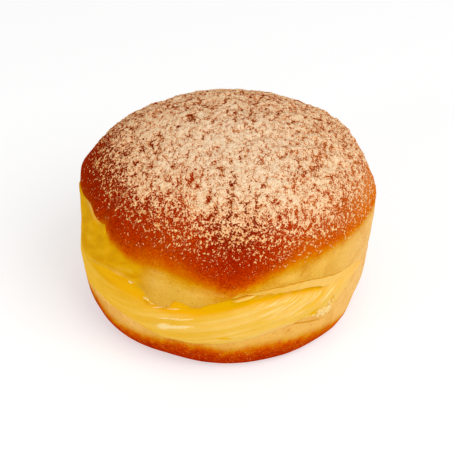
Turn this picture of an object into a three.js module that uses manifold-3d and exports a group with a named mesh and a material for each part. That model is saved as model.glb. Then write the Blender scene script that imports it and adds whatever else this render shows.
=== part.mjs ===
// A round fried bun, cut open along its side and filled with custard.
//
// Millimetres, +Z up. The bun stands on its flat baked foot at z = 0, with the origin under its
// middle. The widest part of the cut faces -Y, and the uncut dough that joins the two halves is at
// the back. Azimuth is measured round the bun's axis, from -Y towards +X, in degrees.

import * as THREE from 'three';
import { mergeVertices } from 'three/addons/utils/BufferGeometryUtils.js';
import Module from 'manifold-3d';

const { degToRad, lerp, smoothstep } = THREE.MathUtils;

// Driving dimensions of the whole bun
const BUN_RADIUS = 47.5;
const BUN_HEIGHT = 62;
const FOOT_RADIUS = 38.5;
const WALL_BOTTOM = 28;
const WALL_TOP = 39.5;
const BASE_ROUNDNESS = 2.75;
const DOME_ROUNDNESS = 2.3;
const BASE_LEAN = { from: 42, to: 24, shift: -0.8 };
const DOME_LEAN = { from: 44, to: 60, shift: 0.9 };

// Lumps and dents of the skin: azimuth, height, spread in degrees, spread in mm, rise in mm
const SHOULDER = { azimuth: 122, height: 51, across: 26, tall: 8, rise: 1.6 };
const RIGHT_WALL = { azimuth: 85, height: 36, across: 40, tall: 12, rise: 1 };
const SIDE_FOLD = { azimuth: -58, height: 47, across: 3.4, tall: 6.5, rise: -1.8 };
const FOLDED_LOBE = { azimuth: -74, height: 46, across: 11, tall: 6, rise: -0.9 };
const FRONT_SWELL = { azimuth: -14, height: 40, across: 26, tall: 7, rise: 0.6 };

// The cut: heights of its two edges at a few azimuths, and how deep it runs under the cap
const UPPER_EDGE = [
  [-116, 21.6], [-95, 22.2], [-74, 22.8], [-56, 28], [-42, 30.4], [-30, 28],
  [-12, 28.4], [4, 31.3], [18, 33.6], [34, 32.6], [50, 28.8], [66, 27],
];
const LOWER_EDGE = [
  [-116, 20.1], [-95, 18.4], [-62, 17.3], [-40, 16.1], [-20, 13.5], [-2, 13.1],
  [16, 15.6], [34, 19.4], [50, 24], [66, 25.5],
];
const TORN_TONGUES = [{ azimuth: -25, drop: 1.5 }, { azimuth: -8, drop: 1.3 }];
const TONGUE_SPREAD = 3.2;
const CUT_MIDDLE = -25;
const CUT_HALF_ANGLE = 87;
const CUT_END_BLEND = 18;
const POCKET_REACH = 23;
const POCKET_MIDDLE = { top: 27, bottom: 17 };
const POCKET_END = { top: 25.5, bottom: 20 };

// The custard: how far it stands out of the cut, and how far it lies back under the upper edge
const CUSTARD_BULGE = 1.7;
const FLUSH_BEYOND = { azimuth: -40, across: 32 };
const CUSTARD_RECESS = 4.6;
const SHALLOW_RECESS = { from: -2, to: 18, depth: 1.5 };
const SPATULA_RIDGE = 0.35;
const SPATULA_WAVES = 4;
const POCKET_NOSE = 1.5;
const CUSTARD_GAP = 0.35;
const CLEAR_OF_SKIN = 9;
const CUT_THROUGH = { from: 0.5, to: 0.8 };
const FRONT_SHOWS = { from: 0.55, to: 0.95 };
const RIM_SHOWS = { from: 0.2, to: 0.6 };

// Steps of the surfaces
const FRONT_STEP = 2.6;
const BACK_STEP = 6;
const FRONT_SPAN = [-120, 70];
const FOOT_SHARES = [0.4, 0.75, 1];
const BASE_STEPS = 9;
const WALL_STEPS = 4;
const DOME_STEPS = 11;
const CUT_SHARES = [0.3, 0.6, 0.85];
const CUSTARD_STEPS = 13;

const bell = (offset, spread) => Math.exp(-((offset / spread) ** 2));
const turnTo = (azimuth, centre) => ((azimuth - centre + 540) % 360) - 180;

// Smooth curve through a few [azimuth, height] knots.
function edgeCurve(knots) {
  const azimuths = Float64Array.from(knots, ([azimuth]) => azimuth);
  const heights = Float64Array.from(knots, ([, height]) => height);
  const curve = new THREE.CubicInterpolant(azimuths, heights, 1);
  const [first, last] = [azimuths[0], azimuths[azimuths.length - 1]];
  return (azimuth) => {
    if (azimuth >= first && azimuth <= last) {
      return curve.evaluate(azimuth)[0];
    }
    const around = (azimuth - last + 360) % 360;
    const share = smoothstep(around / (360 - last + first), 0, 1);
    return lerp(heights[heights.length - 1], heights[0], share);
  };
}

const upperCurve = edgeCurve(UPPER_EDGE);
const lowerEdge = edgeCurve(LOWER_EDGE);
const upperEdge = (azimuth) => TORN_TONGUES.reduce(
  (height, tongue) => height - tongue.drop * bell(azimuth - tongue.azimuth, TONGUE_SPREAD),
  upperCurve(azimuth),
);

// Azimuths of the columns that every surface shares, closer together round the cut.
function columnAzimuths() {
  const [start, end] = FRONT_SPAN;
  const frontCount = Math.round((end - start) / FRONT_STEP);
  const backCount = Math.round((360 - end + start) / BACK_STEP);
  const front = Array.from({ length: frontCount }, (_, i) => lerp(start, end, i / frontCount));
  const back = Array.from({ length: backCount }, (_, i) => lerp(end, start + 360, i / backCount));
  return [...front, ...back].map((azimuth) => turnTo(azimuth, 0));
}

const COLUMNS = columnAzimuths();

// Radius of the plain bun at a height: a rounded base, a short wall and a dome.
function plainRadius(height) {
  if (height < WALL_BOTTOM) {
    const drop = 1 - height / WALL_BOTTOM;
    const share = (1 - drop ** BASE_ROUNDNESS) ** (1 / BASE_ROUNDNESS);
    return lerp(FOOT_RADIUS, BUN_RADIUS, share);
  }
  const climb = Math.max(0, (height - WALL_TOP) / (BUN_HEIGHT - WALL_TOP));
  return BUN_RADIUS * Math.max(0, 1 - climb ** DOME_ROUNDNESS) ** (1 / DOME_ROUNDNESS);
}

// How far the skin stands out of the plain bun because of its lumps and dents.
function lumps(azimuth, height) {
  return [SHOULDER, RIGHT_WALL, SIDE_FOLD, FOLDED_LOBE, FRONT_SWELL].reduce((sum, lump) => {
    const across = bell(turnTo(azimuth, lump.azimuth), lump.across);
    return sum + lump.rise * across * bell(height - lump.height, lump.tall);
  }, 0);
}

// Sideways lean of the bun: the base sits a little left of the dome.
function lean(height) {
  const low = 1 - smoothstep(height, BASE_LEAN.to, BASE_LEAN.from);
  const high = smoothstep(height, DOME_LEAN.from, DOME_LEAN.to);
  return BASE_LEAN.shift * low + DOME_LEAN.shift * high;
}

function placed(azimuth, radius, height) {
  const angle = degToRad(azimuth);
  return new THREE.Vector3(lean(height) + radius * Math.sin(angle), -radius * Math.cos(angle), height);
}

const skinRadius = (azimuth, height) => plainRadius(height) + lumps(azimuth, height);

// A closed surface from rings of points, from a lowest single point to a highest one.
function closedSurface(rings) {
  const positions = rings.flat().flatMap((point) => point.toArray());
  const indices = [];
  const count = COLUMNS.length;
  const start = (ring) => 1 + (ring - 1) * count;
  const last = rings.length - 1;
  for (let column = 0; column < count; column += 1) {
    const next = (column + 1) % count;
    indices.push(0, start(1) + next, start(1) + column);
    for (let ring = 1; ring < last - 1; ring += 1) {
      const [a, b] = [start(ring) + column, start(ring) + next];
      const [c, d] = [start(ring + 1) + column, start(ring + 1) + next];
      indices.push(a, b, d, a, d, c);
    }
    indices.push(start(last - 1) + column, start(last - 1) + next, start(last));
  }
  const geometry = new THREE.BufferGeometry();
  geometry.setAttribute('position', new THREE.Float32BufferAttribute(positions, 3));
  geometry.setIndex(indices);
  return geometry;
}

// Rings of the whole bun, from the middle of its foot to the top of its dome.
function bunRings() {
  const footRing = (share) => COLUMNS.map((azimuth) => placed(azimuth, FOOT_RADIUS * share, 0));
  const skinRing = (height) => COLUMNS.map((azimuth) => (
    placed(azimuth, skinRadius(azimuth, height), height)));
  const quarterTurns = (steps) => Array.from({ length: steps - 1 }, (_, i) => (
    ((i + 1) / steps) * (Math.PI / 2)));
  const baseHeights = quarterTurns(BASE_STEPS).map((turn) => (
    WALL_BOTTOM * (1 - Math.cos(turn) ** (2 / BASE_ROUNDNESS))));
  const wallHeights = Array.from({ length: WALL_STEPS + 1 }, (_, i) => (
    lerp(WALL_BOTTOM, WALL_TOP, i / WALL_STEPS)));
  const domeHeights = quarterTurns(DOME_STEPS).map((turn) => (
    lerp(WALL_TOP, BUN_HEIGHT, Math.sin(turn) ** (2 / DOME_ROUNDNESS))));
  return [
    [placed(0, 0, 0)],
    ...FOOT_SHARES.map(footRing),
    ...baseHeights.map(skinRing),
    ...wallHeights.map(skinRing),
    ...domeHeights.map(skinRing),
    [placed(0, 0, BUN_HEIGHT)],
  ];
}

// How far the cut reaches from the axis: out to the skin in front, a blind pocket behind.
function cutReach(azimuth) {
  const away = Math.abs(turnTo(azimuth, CUT_MIDDLE));
  const open = 1 - smoothstep(away, CUT_HALF_ANGLE - CUT_END_BLEND, CUT_HALF_ANGLE + 2 * CUT_END_BLEND);
  return { open, radius: lerp(POCKET_REACH, BUN_RADIUS, open) };
}

// Heights of the two cut faces: the pocket's inside the dough, the edges' at the skin and beyond.
function cutFaces(azimuth, reach) {
  const { open, radius } = cutReach(azimuth);
  const share = Math.min(1, reach / radius) ** 2;
  const shown = smoothstep(open, RIM_SHOWS.from, RIM_SHOWS.to);
  const rim = {
    top: lerp(POCKET_END.top, upperEdge(azimuth), shown),
    bottom: lerp(POCKET_END.bottom, lowerEdge(azimuth), shown),
  };
  return {
    top: lerp(POCKET_MIDDLE.top, rim.top, share),
    bottom: lerp(POCKET_MIDDLE.bottom, rim.bottom, share),
  };
}

// Rings of the space that the cut takes out of the bun, open to the front.
function cutRings() {
  const ringAt = (share, level) => COLUMNS.map((azimuth) => {
    const reach = cutReach(azimuth).radius * share;
    return placed(azimuth, reach, cutFaces(azimuth, reach)[level]);
  });
  const outerRing = (level) => COLUMNS.map((azimuth) => {
    const { open, radius } = cutReach(azimuth);
    const through = smoothstep(open, CUT_THROUGH.from, CUT_THROUGH.to);
    const reach = radius + 2 * CUSTARD_GAP + CLEAR_OF_SKIN * through;
    return placed(azimuth, reach, cutFaces(azimuth, reach)[level]);
  });
  const shares = [...CUT_SHARES, 1];
  return [
    [placed(0, 0, POCKET_MIDDLE.bottom)],
    ...shares.map((share) => ringAt(share, 'bottom')),
    outerRing('bottom'),
    outerRing('top'),
    ...shares.toReversed().map((share) => ringAt(share, 'top')),
    [placed(0, 0, POCKET_MIDDLE.top)],
  ];
}

// A point of the custard's front, from its lower corner (0) to its upper corner (1).
function custardFront(azimuth, share) {
  const { open, radius } = cutReach(azimuth);
  const back = cutFaces(azimuth, radius - CUSTARD_RECESS);
  const height = lerp(back.bottom + CUSTARD_GAP, back.top - CUSTARD_GAP, share);
  const flush = smoothstep(FLUSH_BEYOND.azimuth - azimuth, 0, FLUSH_BEYOND.across);
  const swell = CUSTARD_BULGE * (1 - flush) * Math.sin(Math.PI * (1 - 0.85 * share));
  const shallow = smoothstep(azimuth, SHALLOW_RECESS.from, SHALLOW_RECESS.to);
  const recess = lerp(CUSTARD_RECESS, SHALLOW_RECESS.depth, shallow) * smoothstep(share, 0.5, 1);
  const ridge = SPATULA_RIDGE * Math.cos(2 * Math.PI * (SPATULA_WAVES * share - azimuth / 60));
  const ridgeFade = smoothstep(share, 0, 0.2) * (1 - smoothstep(share, 0.65, 0.85));
  const shown = skinRadius(azimuth, height) - BUN_RADIUS + swell - recess + ridge * ridgeFade;
  const buried = POCKET_NOSE * Math.sin(Math.PI * share) - CUSTARD_RECESS;
  const reach = radius + lerp(buried, shown, smoothstep(open, FRONT_SHOWS.from, FRONT_SHOWS.to));
  const faces = cutFaces(azimuth, reach);
  const ceiling = faces.top - CUSTARD_GAP;
  const floor = faces.bottom + CUSTARD_GAP;
  return placed(azimuth, reach, Math.max(floor, Math.min(ceiling, height)));
}

// Rings of the custard, out along its underside, up its front and back along its top.
function custardRings() {
  const ringAt = (share, level, gap) => COLUMNS.map((azimuth) => {
    const reach = (cutReach(azimuth).radius - CUSTARD_RECESS) * share;
    return placed(azimuth, reach, cutFaces(azimuth, reach)[level] + gap);
  });
  const frontRings = Array.from({ length: CUSTARD_STEPS + 1 }, (_, step) => (
    COLUMNS.map((azimuth) => custardFront(azimuth, step / CUSTARD_STEPS))));
  return [
    [placed(0, 0, POCKET_MIDDLE.bottom + CUSTARD_GAP)],
    ...CUT_SHARES.map((share) => ringAt(share, 'bottom', CUSTARD_GAP)),
    ...frontRings,
    ...CUT_SHARES.toReversed().map((share) => ringAt(share, 'top', -CUSTARD_GAP)),
    [placed(0, 0, POCKET_MIDDLE.top - CUSTARD_GAP)],
  ];
}

const wasm = await Module();
wasm.setup();

function solid(geometry) {
  const merged = mergeVertices(geometry);
  const vertProperties = Float32Array.from(merged.getAttribute('position').array);
  const triVerts = Uint32Array.from(merged.getIndex().array);
  return new wasm.Manifold(new wasm.Mesh({ numProp: 3, vertProperties, triVerts }));
}

function geometryOf(manifold) {
  const mesh = manifold.getMesh();
  const geometry = new THREE.BufferGeometry();
  geometry.setAttribute('position', new THREE.BufferAttribute(mesh.vertProperties, 3));
  geometry.setIndex(new THREE.BufferAttribute(mesh.triVerts, 1));
  geometry.computeVertexNormals();
  return geometry;
}

// The dough: one solid, its two halves joined behind the cut.
function makeDough() {
  const cut = solid(closedSurface(cutRings()));
  const dough = solid(closedSurface(bunRings())).subtract(cut);
  const material = new THREE.MeshStandardMaterial({ color: 0xb5531a, roughness: 0.7, metalness: 0 });
  const mesh = new THREE.Mesh(geometryOf(dough), material);
  mesh.name = 'dough';
  return mesh;
}

// The custard: one solid that fills the cut from the pocket at the back to the front.
function makeCustard() {
  const geometry = closedSurface(custardRings());
  geometry.computeVertexNormals();
  const material = new THREE.MeshStandardMaterial({ color: 0xf3c04a, roughness: 0.35, metalness: 0 });
  const mesh = new THREE.Mesh(geometry, material);
  mesh.name = 'custard';
  return mesh;
}

const doughnut = new THREE.Group();
doughnut.name = 'custard_doughnut';
doughnut.add(makeDough(), makeCustard());

// The origin lies under the middle of the whole, bulging custard included.
const room = new THREE.Box3().setFromObject(doughnut);
const middle = room.getCenter(new THREE.Vector3());
doughnut.position.set(-middle.x, -middle.y, -room.min.z);
doughnut.updateMatrixWorld(true);

export default doughnut;
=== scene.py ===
import math

import bmesh
import bpy
import numpy as np
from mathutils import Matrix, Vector, noise


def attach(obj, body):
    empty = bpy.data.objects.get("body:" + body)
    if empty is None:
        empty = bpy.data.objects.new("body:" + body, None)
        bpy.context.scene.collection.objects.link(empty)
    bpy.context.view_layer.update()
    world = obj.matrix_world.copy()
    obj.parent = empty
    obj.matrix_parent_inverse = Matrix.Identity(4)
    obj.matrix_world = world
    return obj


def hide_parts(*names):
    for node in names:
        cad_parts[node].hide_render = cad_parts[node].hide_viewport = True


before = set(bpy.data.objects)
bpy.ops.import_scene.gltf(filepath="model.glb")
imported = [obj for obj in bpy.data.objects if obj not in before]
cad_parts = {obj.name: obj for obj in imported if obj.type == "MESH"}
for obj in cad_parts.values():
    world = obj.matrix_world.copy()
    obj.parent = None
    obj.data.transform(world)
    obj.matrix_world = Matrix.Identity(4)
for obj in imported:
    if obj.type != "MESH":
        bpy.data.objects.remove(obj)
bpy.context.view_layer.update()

MM = 0.001

# The dough: a bun of yeast dough, fried on one side and then on the other, so that a pale ring is
# left round its side. It is cut open along that side with a knife, and the two halves stay joined
# at the back. Azimuth goes round the bun's axis, in degrees, from -Y towards +X.

BUN_AXIS = (0.073 * MM, 0.9035 * MM)
BUN_RADIUS = 47.5 * MM
BUN_HEIGHT = 62 * MM
FOOT_RADIUS = 38.5 * MM
WALL_BOTTOM = 28 * MM
WALL_TOP = 39.5 * MM
BASE_ROUNDNESS = 2.75
DOME_ROUNDNESS = 2.3
BASE_LEAN = {"start": 24 * MM, "end": 42 * MM, "shift": -0.8 * MM}
DOME_LEAN = {"start": 44 * MM, "end": 60 * MM, "shift": 0.9 * MM}

# Lumps and dents of the skin: azimuth, height, spread in degrees, spread in height, rise
LUMPS = {
    "shoulder": (122, 51 * MM, 26, 8 * MM, 1.6 * MM),
    "right_wall": (85, 36 * MM, 40, 12 * MM, 1.0 * MM),
    "side_fold": (-58, 47 * MM, 3.4, 6.5 * MM, -1.8 * MM),
    "folded_lobe": (-74, 46 * MM, 11, 6 * MM, -0.9 * MM),
    "front_swell": (-14, 40 * MM, 26, 7 * MM, 0.6 * MM),
    "shoulder_dent": (113, 49.5 * MM, 5.5, 5 * MM, -1.5 * MM),
    "right_dent": (100, 46.5 * MM, 9, 6 * MM, -1.3 * MM),
    "back_dent_right": (140, 53 * MM, 15, 6 * MM, -0.7 * MM),
    "back_dent_left": (-150, 54 * MM, 10, 6 * MM, -0.9 * MM),
    "left_knob": (-98, 45 * MM, 7, 4 * MM, 0.7 * MM),
    "left_dent": (-85, 29 * MM, 7, 8 * MM, -1.3 * MM),
    "foot_dent_left": (-24, 1 * MM, 15, 5 * MM, -1.0 * MM),
    "foot_dent_right": (70, 7 * MM, 7, 5 * MM, -1.0 * MM),
}

# Edges of the cut at the skin, with the torn tongues that hang from the upper one: azimuth, mm
UPPER_EDGE = [
    (-116, 21.4), (-95, 22.0), (-74, 22.6), (-60, 26.4), (-51, 28.6), (-44, 29.7), (-39, 29.8),
    (-35, 28.9), (-31.5, 27.3), (-29.6, 25.6), (-26, 24.2), (-23, 23.9), (-20.6, 24.6),
    (-19.8, 27.6), (-17.5, 28.0), (-14.4, 27.6), (-12.4, 26.4), (-9.4, 26.4), (-8, 27.6),
    (-6, 28.4), (-3, 29.2), (1, 29.9), (4, 31.0), (8, 32.2), (13, 32.7), (20, 32.8), (28, 32.5),
    (35, 31.5), (42, 30.0), (47, 28.7), (53, 27.6), (62, 26.4),
]
LOWER_EDGE = [
    (-116, 20.1), (-95, 18.4), (-62, 17.4), (-48, 17.3), (-40, 16.1), (-33, 14.9), (-22, 13.6),
    (-10, 13.0), (-2, 13.2), (5, 13.9), (16, 15.8), (25, 17.3), (34, 19.0), (41, 20.8),
    (50, 23.6), (62, 25.6),
]
EDGE_SOFTNESS = 0.5
EDGE_RAGGED = 0.12 * MM
TORN_LIP = {"ragged": 0.3 * MM, "until": (-3, 3)}
CUT_MIDDLE = -25
CUT_HALF_ANGLE = 87
CUT_END_BLEND = 18
POCKET_REACH = 23 * MM
POCKET_MIDDLE = {"top": 27 * MM, "bottom": 17 * MM}
POCKET_END = {"top": 25.5 * MM, "bottom": 20 * MM}
CLEAR_OF_SKIN = 9 * MM
CUT_WIDENING = 0.7 * MM
# How open the cut is where its faces start to follow the lips and where they do, and where the
# space of the cut starts to reach out past the skin and is clear of it
FOLLOWS_LIPS = (0.2, 0.6)
PASSES_SKIN = (0.5, 0.8)

BUN_COLUMNS = 480
FOOT_SHARES = (0.4, 0.75, 1)
BASE_STEPS = 40
WALL_STEPS = 16
DOME_STEPS = 56
CUT_COLUMNS = 900
CUT_SHARES = (0.3, 0.6, 0.85, 0.92, 1.0)
CRUMB_GRID = 0.71 * MM
TURN_STEP = 0.25
TURNS = np.arange(-180, 180, TURN_STEP)


def smoothstep(value, start, end):
    share = np.clip((value - start) / (end - start), 0, 1)
    return share * share * (3 - 2 * share)


def window(value, comes, goes):
    """1 between two stretches: the first one where it comes in, the second where it goes out."""
    return smoothstep(value, *comes) * (1 - smoothstep(value, *goes))


def blend(first, second, share):
    return first + (second - first) * share


def bell(offset, spread):
    return np.exp(-((offset / spread) ** 2))


def turn_to(azimuth, centre):
    """Signed angle from a centre azimuth, between -180 and 180 degrees."""
    return (azimuth - centre + 180) % 360 - 180


def arc_length(azimuth):
    """Way round the widest part of the bun to an azimuth."""
    return np.radians(azimuth) * BUN_RADIUS


def ring_curve(knots, softness, ragged=0.0, seed=0):
    """Closed curve round the bun through (azimuth, mm) knots: its height in metres at any azimuth."""
    azimuths, heights = np.array(knots, float).T
    line = np.interp(TURNS, azimuths, heights * MM, period=360)
    line = line + ragged * np.random.default_rng(seed).normal(size=TURNS.size)
    reach = int(3 * softness / TURN_STEP)
    weights = bell(np.arange(-reach, reach + 1) * TURN_STEP, softness)
    around = np.concatenate([line[-reach:], line, line[:reach]])
    soft = np.convolve(around, weights / weights.sum(), mode="valid")
    return lambda azimuth: np.interp(azimuth, TURNS, soft, period=360)


torn = 1 - smoothstep(TURNS, *TORN_LIP["until"])
upper_edge = ring_curve(UPPER_EDGE, EDGE_SOFTNESS, TORN_LIP["ragged"] * torn, seed=3)
lower_edge = ring_curve(LOWER_EDGE, EDGE_SOFTNESS, EDGE_RAGGED, seed=4)


def plain_radius(height):
    """Radius of the plain bun at a height: a rounded base, a short wall and a dome."""
    drop = np.clip(1 - height / WALL_BOTTOM, 0, 1)
    base_share = (1 - drop**BASE_ROUNDNESS) ** (1 / BASE_ROUNDNESS)
    climb = np.clip((height - WALL_TOP) / (BUN_HEIGHT - WALL_TOP), 0, 1)
    dome_share = (1 - climb**DOME_ROUNDNESS) ** (1 / DOME_ROUNDNESS)
    base = blend(FOOT_RADIUS, BUN_RADIUS, base_share)
    return np.where(height < WALL_BOTTOM, base, BUN_RADIUS * dome_share)


def skin_radius(azimuth, height):
    radius = plain_radius(height)
    for centre, level, across, tall, rise in LUMPS.values():
        radius = radius + rise * bell(turn_to(azimuth, centre), across) * bell(height - level, tall)
    return radius


def lean(height):
    low = 1 - smoothstep(height, BASE_LEAN["start"], BASE_LEAN["end"])
    high = smoothstep(height, DOME_LEAN["start"], DOME_LEAN["end"])
    return BASE_LEAN["shift"] * low + DOME_LEAN["shift"] * high


def placed(azimuth, radius, height):
    """Points at an azimuth, a distance from the bun's axis and a height."""
    azimuth, radius, height = np.broadcast_arrays(azimuth, radius, height)
    angle = np.radians(azimuth)
    x = BUN_AXIS[0] + lean(height) + radius * np.sin(angle)
    y = BUN_AXIS[1] - radius * np.cos(angle)
    return np.stack([x, y, height], axis=-1)


def round_the_axis(points):
    """Azimuth, distance from the bun's axis and height of points: the reverse of placed."""
    height = points[:, 2]
    east = points[:, 0] - BUN_AXIS[0] - lean(height)
    south = BUN_AXIS[1] - points[:, 1]
    return np.degrees(np.arctan2(east, south)), np.hypot(east, south), height


def cut_reach(azimuth):
    """How open the cut is at an azimuth, and how far it reaches from the axis."""
    away = np.abs(turn_to(azimuth, CUT_MIDDLE))
    closing = smoothstep(away, CUT_HALF_ANGLE - CUT_END_BLEND, CUT_HALF_ANGLE + 2 * CUT_END_BLEND)
    return 1 - closing, blend(POCKET_REACH, BUN_RADIUS, 1 - closing)


def cut_faces(azimuth, reach, lower=lower_edge, upper=upper_edge):
    """Heights of the lower and the upper face of the cut, some way out from the axis."""
    opening, radius = cut_reach(azimuth)
    share = np.minimum(1, reach / radius) ** 2
    shown = smoothstep(opening, *FOLLOWS_LIPS)
    rim_bottom = blend(POCKET_END["bottom"], lower(azimuth), shown)
    rim_top = blend(POCKET_END["top"], upper(azimuth), shown)
    bottom = blend(POCKET_MIDDLE["bottom"], rim_bottom, share)
    top = blend(POCKET_MIDDLE["top"], rim_top, share)
    return bottom, top


def new_object(name, data):
    made = bpy.data.objects.new(name, data)
    bpy.context.collection.objects.link(made)
    return made


def closed_surface(name, rings):
    """Object of a closed skin over rings of points, from a lowest single point to a highest one."""
    count = len(rings[1])
    points = np.vstack(rings)
    column = np.arange(count)
    beside = (column + 1) % count
    starts = 1 + count * np.arange(len(rings) - 2)
    faces = [(0, int(starts[0] + b), int(starts[0] + a)) for a, b in zip(column, beside)]
    for low, high in zip(starts[:-1], starts[1:]):
        quads = np.stack([low + column, low + beside, high + beside, high + column], axis=1)
        faces.extend(map(tuple, quads.tolist()))
    top = len(points) - 1
    faces.extend((int(starts[-1] + a), int(starts[-1] + b), top) for a, b in zip(column, beside))
    mesh = bpy.data.meshes.new(name)
    mesh.from_pydata(points.tolist(), [], faces)
    return new_object(name, mesh)


def bun_rings():
    """Rings of the whole bun, from the middle of its foot to the top of its dome."""
    around = np.linspace(-180, 180, BUN_COLUMNS, endpoint=False)
    base_turns = np.arange(1, BASE_STEPS) / BASE_STEPS * math.pi / 2
    dome_turns = np.arange(1, DOME_STEPS) / DOME_STEPS * math.pi / 2
    base_heights = WALL_BOTTOM * (1 - np.cos(base_turns) ** (2 / BASE_ROUNDNESS))
    wall_heights = np.linspace(WALL_BOTTOM, WALL_TOP, WALL_STEPS + 1)
    dome_heights = blend(WALL_TOP, BUN_HEIGHT, np.sin(dome_turns) ** (2 / DOME_ROUNDNESS))
    foot = [placed(around, skin_radius(around, 0.0) * share, 0.0) for share in FOOT_SHARES]
    heights = np.concatenate([base_heights, wall_heights, dome_heights])
    skin = [placed(around, skin_radius(around, height), height) for height in heights]
    return [placed(0, 0, 0.0)[None], *foot, *skin, placed(0, 0, BUN_HEIGHT)[None]]


def cut_rings():
    """Rings of the space that the cut takes out of the bun, open to the front."""
    around = np.linspace(-180, 180, CUT_COLUMNS, endpoint=False)
    opening, radius = cut_reach(around)
    beyond = radius + CUT_WIDENING + CLEAR_OF_SKIN * smoothstep(opening, *PASSES_SKIN)
    reaches = [radius * share for share in CUT_SHARES] + [beyond]
    bottom = [placed(around, reach, cut_faces(around, reach)[0]) for reach in reaches]
    top = [placed(around, reach, cut_faces(around, reach)[1]) for reach in reversed(reaches)]
    lowest = placed(0, 0, POCKET_MIDDLE["bottom"])[None]
    highest = placed(0, 0, POCKET_MIDDLE["top"])[None]
    return [lowest, *bottom, *top, highest]


def finished_mesh(made, name):
    """Replaces an object's mesh by the one its modifiers make, and takes the modifiers off."""
    shaped = made.evaluated_get(bpy.context.evaluated_depsgraph_get())
    mesh = bpy.data.meshes.new_from_object(shaped)
    mesh.name = name
    made.modifiers.clear()
    made.data = mesh
    return mesh


def read_points(mesh):
    points = np.empty(len(mesh.vertices) * 3)
    mesh.vertices.foreach_get("co", points)
    return points.reshape(-1, 3)


def read_normals(mesh):
    normals = np.empty(len(mesh.vertices) * 3)
    mesh.vertex_normals.foreach_get("vector", normals)
    return normals.reshape(-1, 3)


def store(mesh, **named_values):
    """Keeps numbers on every point of a mesh under their names, for shaders and node trees."""
    for name, values in named_values.items():
        attribute = mesh.attributes.new(name, "FLOAT", "POINT")
        attribute.data.foreach_set("value", np.ascontiguousarray(values, np.float32))


def rough_noise(points, layers):
    """Sum of smooth noises at each point, with the size, rise and seed of each layer."""
    total = 0
    for size, rise, seed in layers:
        places = (points / size + seed).tolist()
        total = total + rise * np.array([noise.noise(place) for place in places])
    return total


dough = closed_surface("fried_dough", bun_rings())
cut = closed_surface("cut", cut_rings())
slit = dough.modifiers.new("slit", "BOOLEAN")
slit.operation = "DIFFERENCE"
slit.solver = "MANIFOLD"
slit.object = cut
even = dough.modifiers.new("even_grid", "REMESH")
even.mode = "VOXEL"
even.voxel_size = CRUMB_GRID
softened = dough.modifiers.new("soft_lips", "SMOOTH")
softened.factor = 0.5
softened.iterations = 4
dough_mesh = finished_mesh(dough, "fried_dough")
bpy.data.objects.remove(cut)

# Where the crust ends: it comes further down in front, and the fold on the left lifts it
CRUST_EDGE = [
    (-112, 40.5), (-90, 41.0), (-84, 41.2), (-76, 41.8), (-72, 42.8), (-68, 43.1), (-64, 42.6),
    (-60, 41.6), (-56, 43.0), (-53.5, 44.2), (-51, 42.8), (-48, 41.0), (-44, 40.2), (-40, 38.9),
    (-36, 38.8), (-32, 39.7), (-28, 40.5), (-24, 40.0), (-20, 39.5), (-16, 39.3), (-12, 38.6),
    (-8, 36.7), (-4, 35.0), (0, 33.4), (4, 33.5), (8, 34.6), (12, 37.4), (16, 39.1), (20, 39.9),
    (24, 40.7), (28, 41.9), (36, 41.8), (44, 42.1), (52, 42.2), (60, 41.6), (68, 42), (76, 41),
    (90, 39), (105, 38.5), (120, 41.5), (140, 40.0), (165, 42.0), (-160, 40.5), (-138, 41.5),
]
FOOT_EDGE = [
    (-120, 10.0), (-95, 11.0), (-70, 11.2), (-64, 10.6), (-60, 10.0), (-56, 9.6), (-52, 8.3),
    (-44, 8.4), (-40, 8.3), (-36, 9.0), (-32, 9.6), (-28, 10.5), (-24, 10.9), (-20, 11.8),
    (-16, 11.2), (-8, 11.0), (-4, 9.8), (0, 8.6), (4, 9.0), (8, 9.6), (12, 9.9), (16, 10.4),
    (24, 10.1), (32, 9.5), (36, 8.9), (40, 8.1), (44, 7.4), (48, 7.1), (54, 6.2), (62, 5.4),
    (75, 6.0), (95, 8.5), (120, 10.5), (150, 9.0), (180, 10.5), (-150, 9.0),
]
crust_edge = ring_curve(CRUST_EDGE, softness=1.2, ragged=0.4 * MM, seed=5)
foot_edge = ring_curve(FOOT_EDGE, softness=1.2, ragged=0.5 * MM, seed=6)
FOOT_STEEPNESS = 0.84
UNDERSIDE = {"radius": (18 * MM, 36 * MM), "height": (2 * MM, 4 * MM), "baked": 9 * MM}
CUT_FACE_BAKED = -6 * MM
CRUST_RISE = 0.25 * MM
EDGE_BLEND = (-1.5 * MM, 1.5 * MM)
# Where the crust is baked less, just above its edge: azimuth, spread and how much less
LIGHTLY_BAKED = [(-26, 20, 0.56), (34, 13, 0.6)]
# The top and the foot are skin all over. In between, the skin is what lies close under the bun's form
TOP_SKIN = (48 * MM, 50 * MM)
FOOT_SKIN = (1 * MM, 3 * MM)
SKIN_DEPTH = (0.5 * MM, 1.5 * MM)

# Icing sugar: the height where it covers half of the crust, and how slowly it thins out above and
# below there
SUGAR_HALF = [
    (-110, 54.0), (-96, 55.0), (-80, 56.2), (-64, 55.6), (-48, 54.4), (-32, 55.0), (-16, 54.2),
    (0, 53.6), (16, 52.4), (32, 50.2), (48, 49.6), (64, 49.2), (80, 48.2), (110, 46.4),
    (150, 47.0), (-170, 48.0), (-140, 51.0),
]
SUGAR_FADE_ABOVE = [
    (-110, 2.4), (-64, 2.2), (-48, 2.0), (-32, 2.4), (-10, 2.0), (10, 2.4), (32, 2.6), (50, 4.0),
    (110, 3.6),
]
SUGAR_FADE_BELOW = [
    (-110, 3.2), (-64, 3.0), (-48, 2.2), (-32, 3.3), (-10, 4.2), (10, 3.8), (32, 4.9), (50, 4.0),
    (64, 4.2), (110, 4.2),
]
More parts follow.
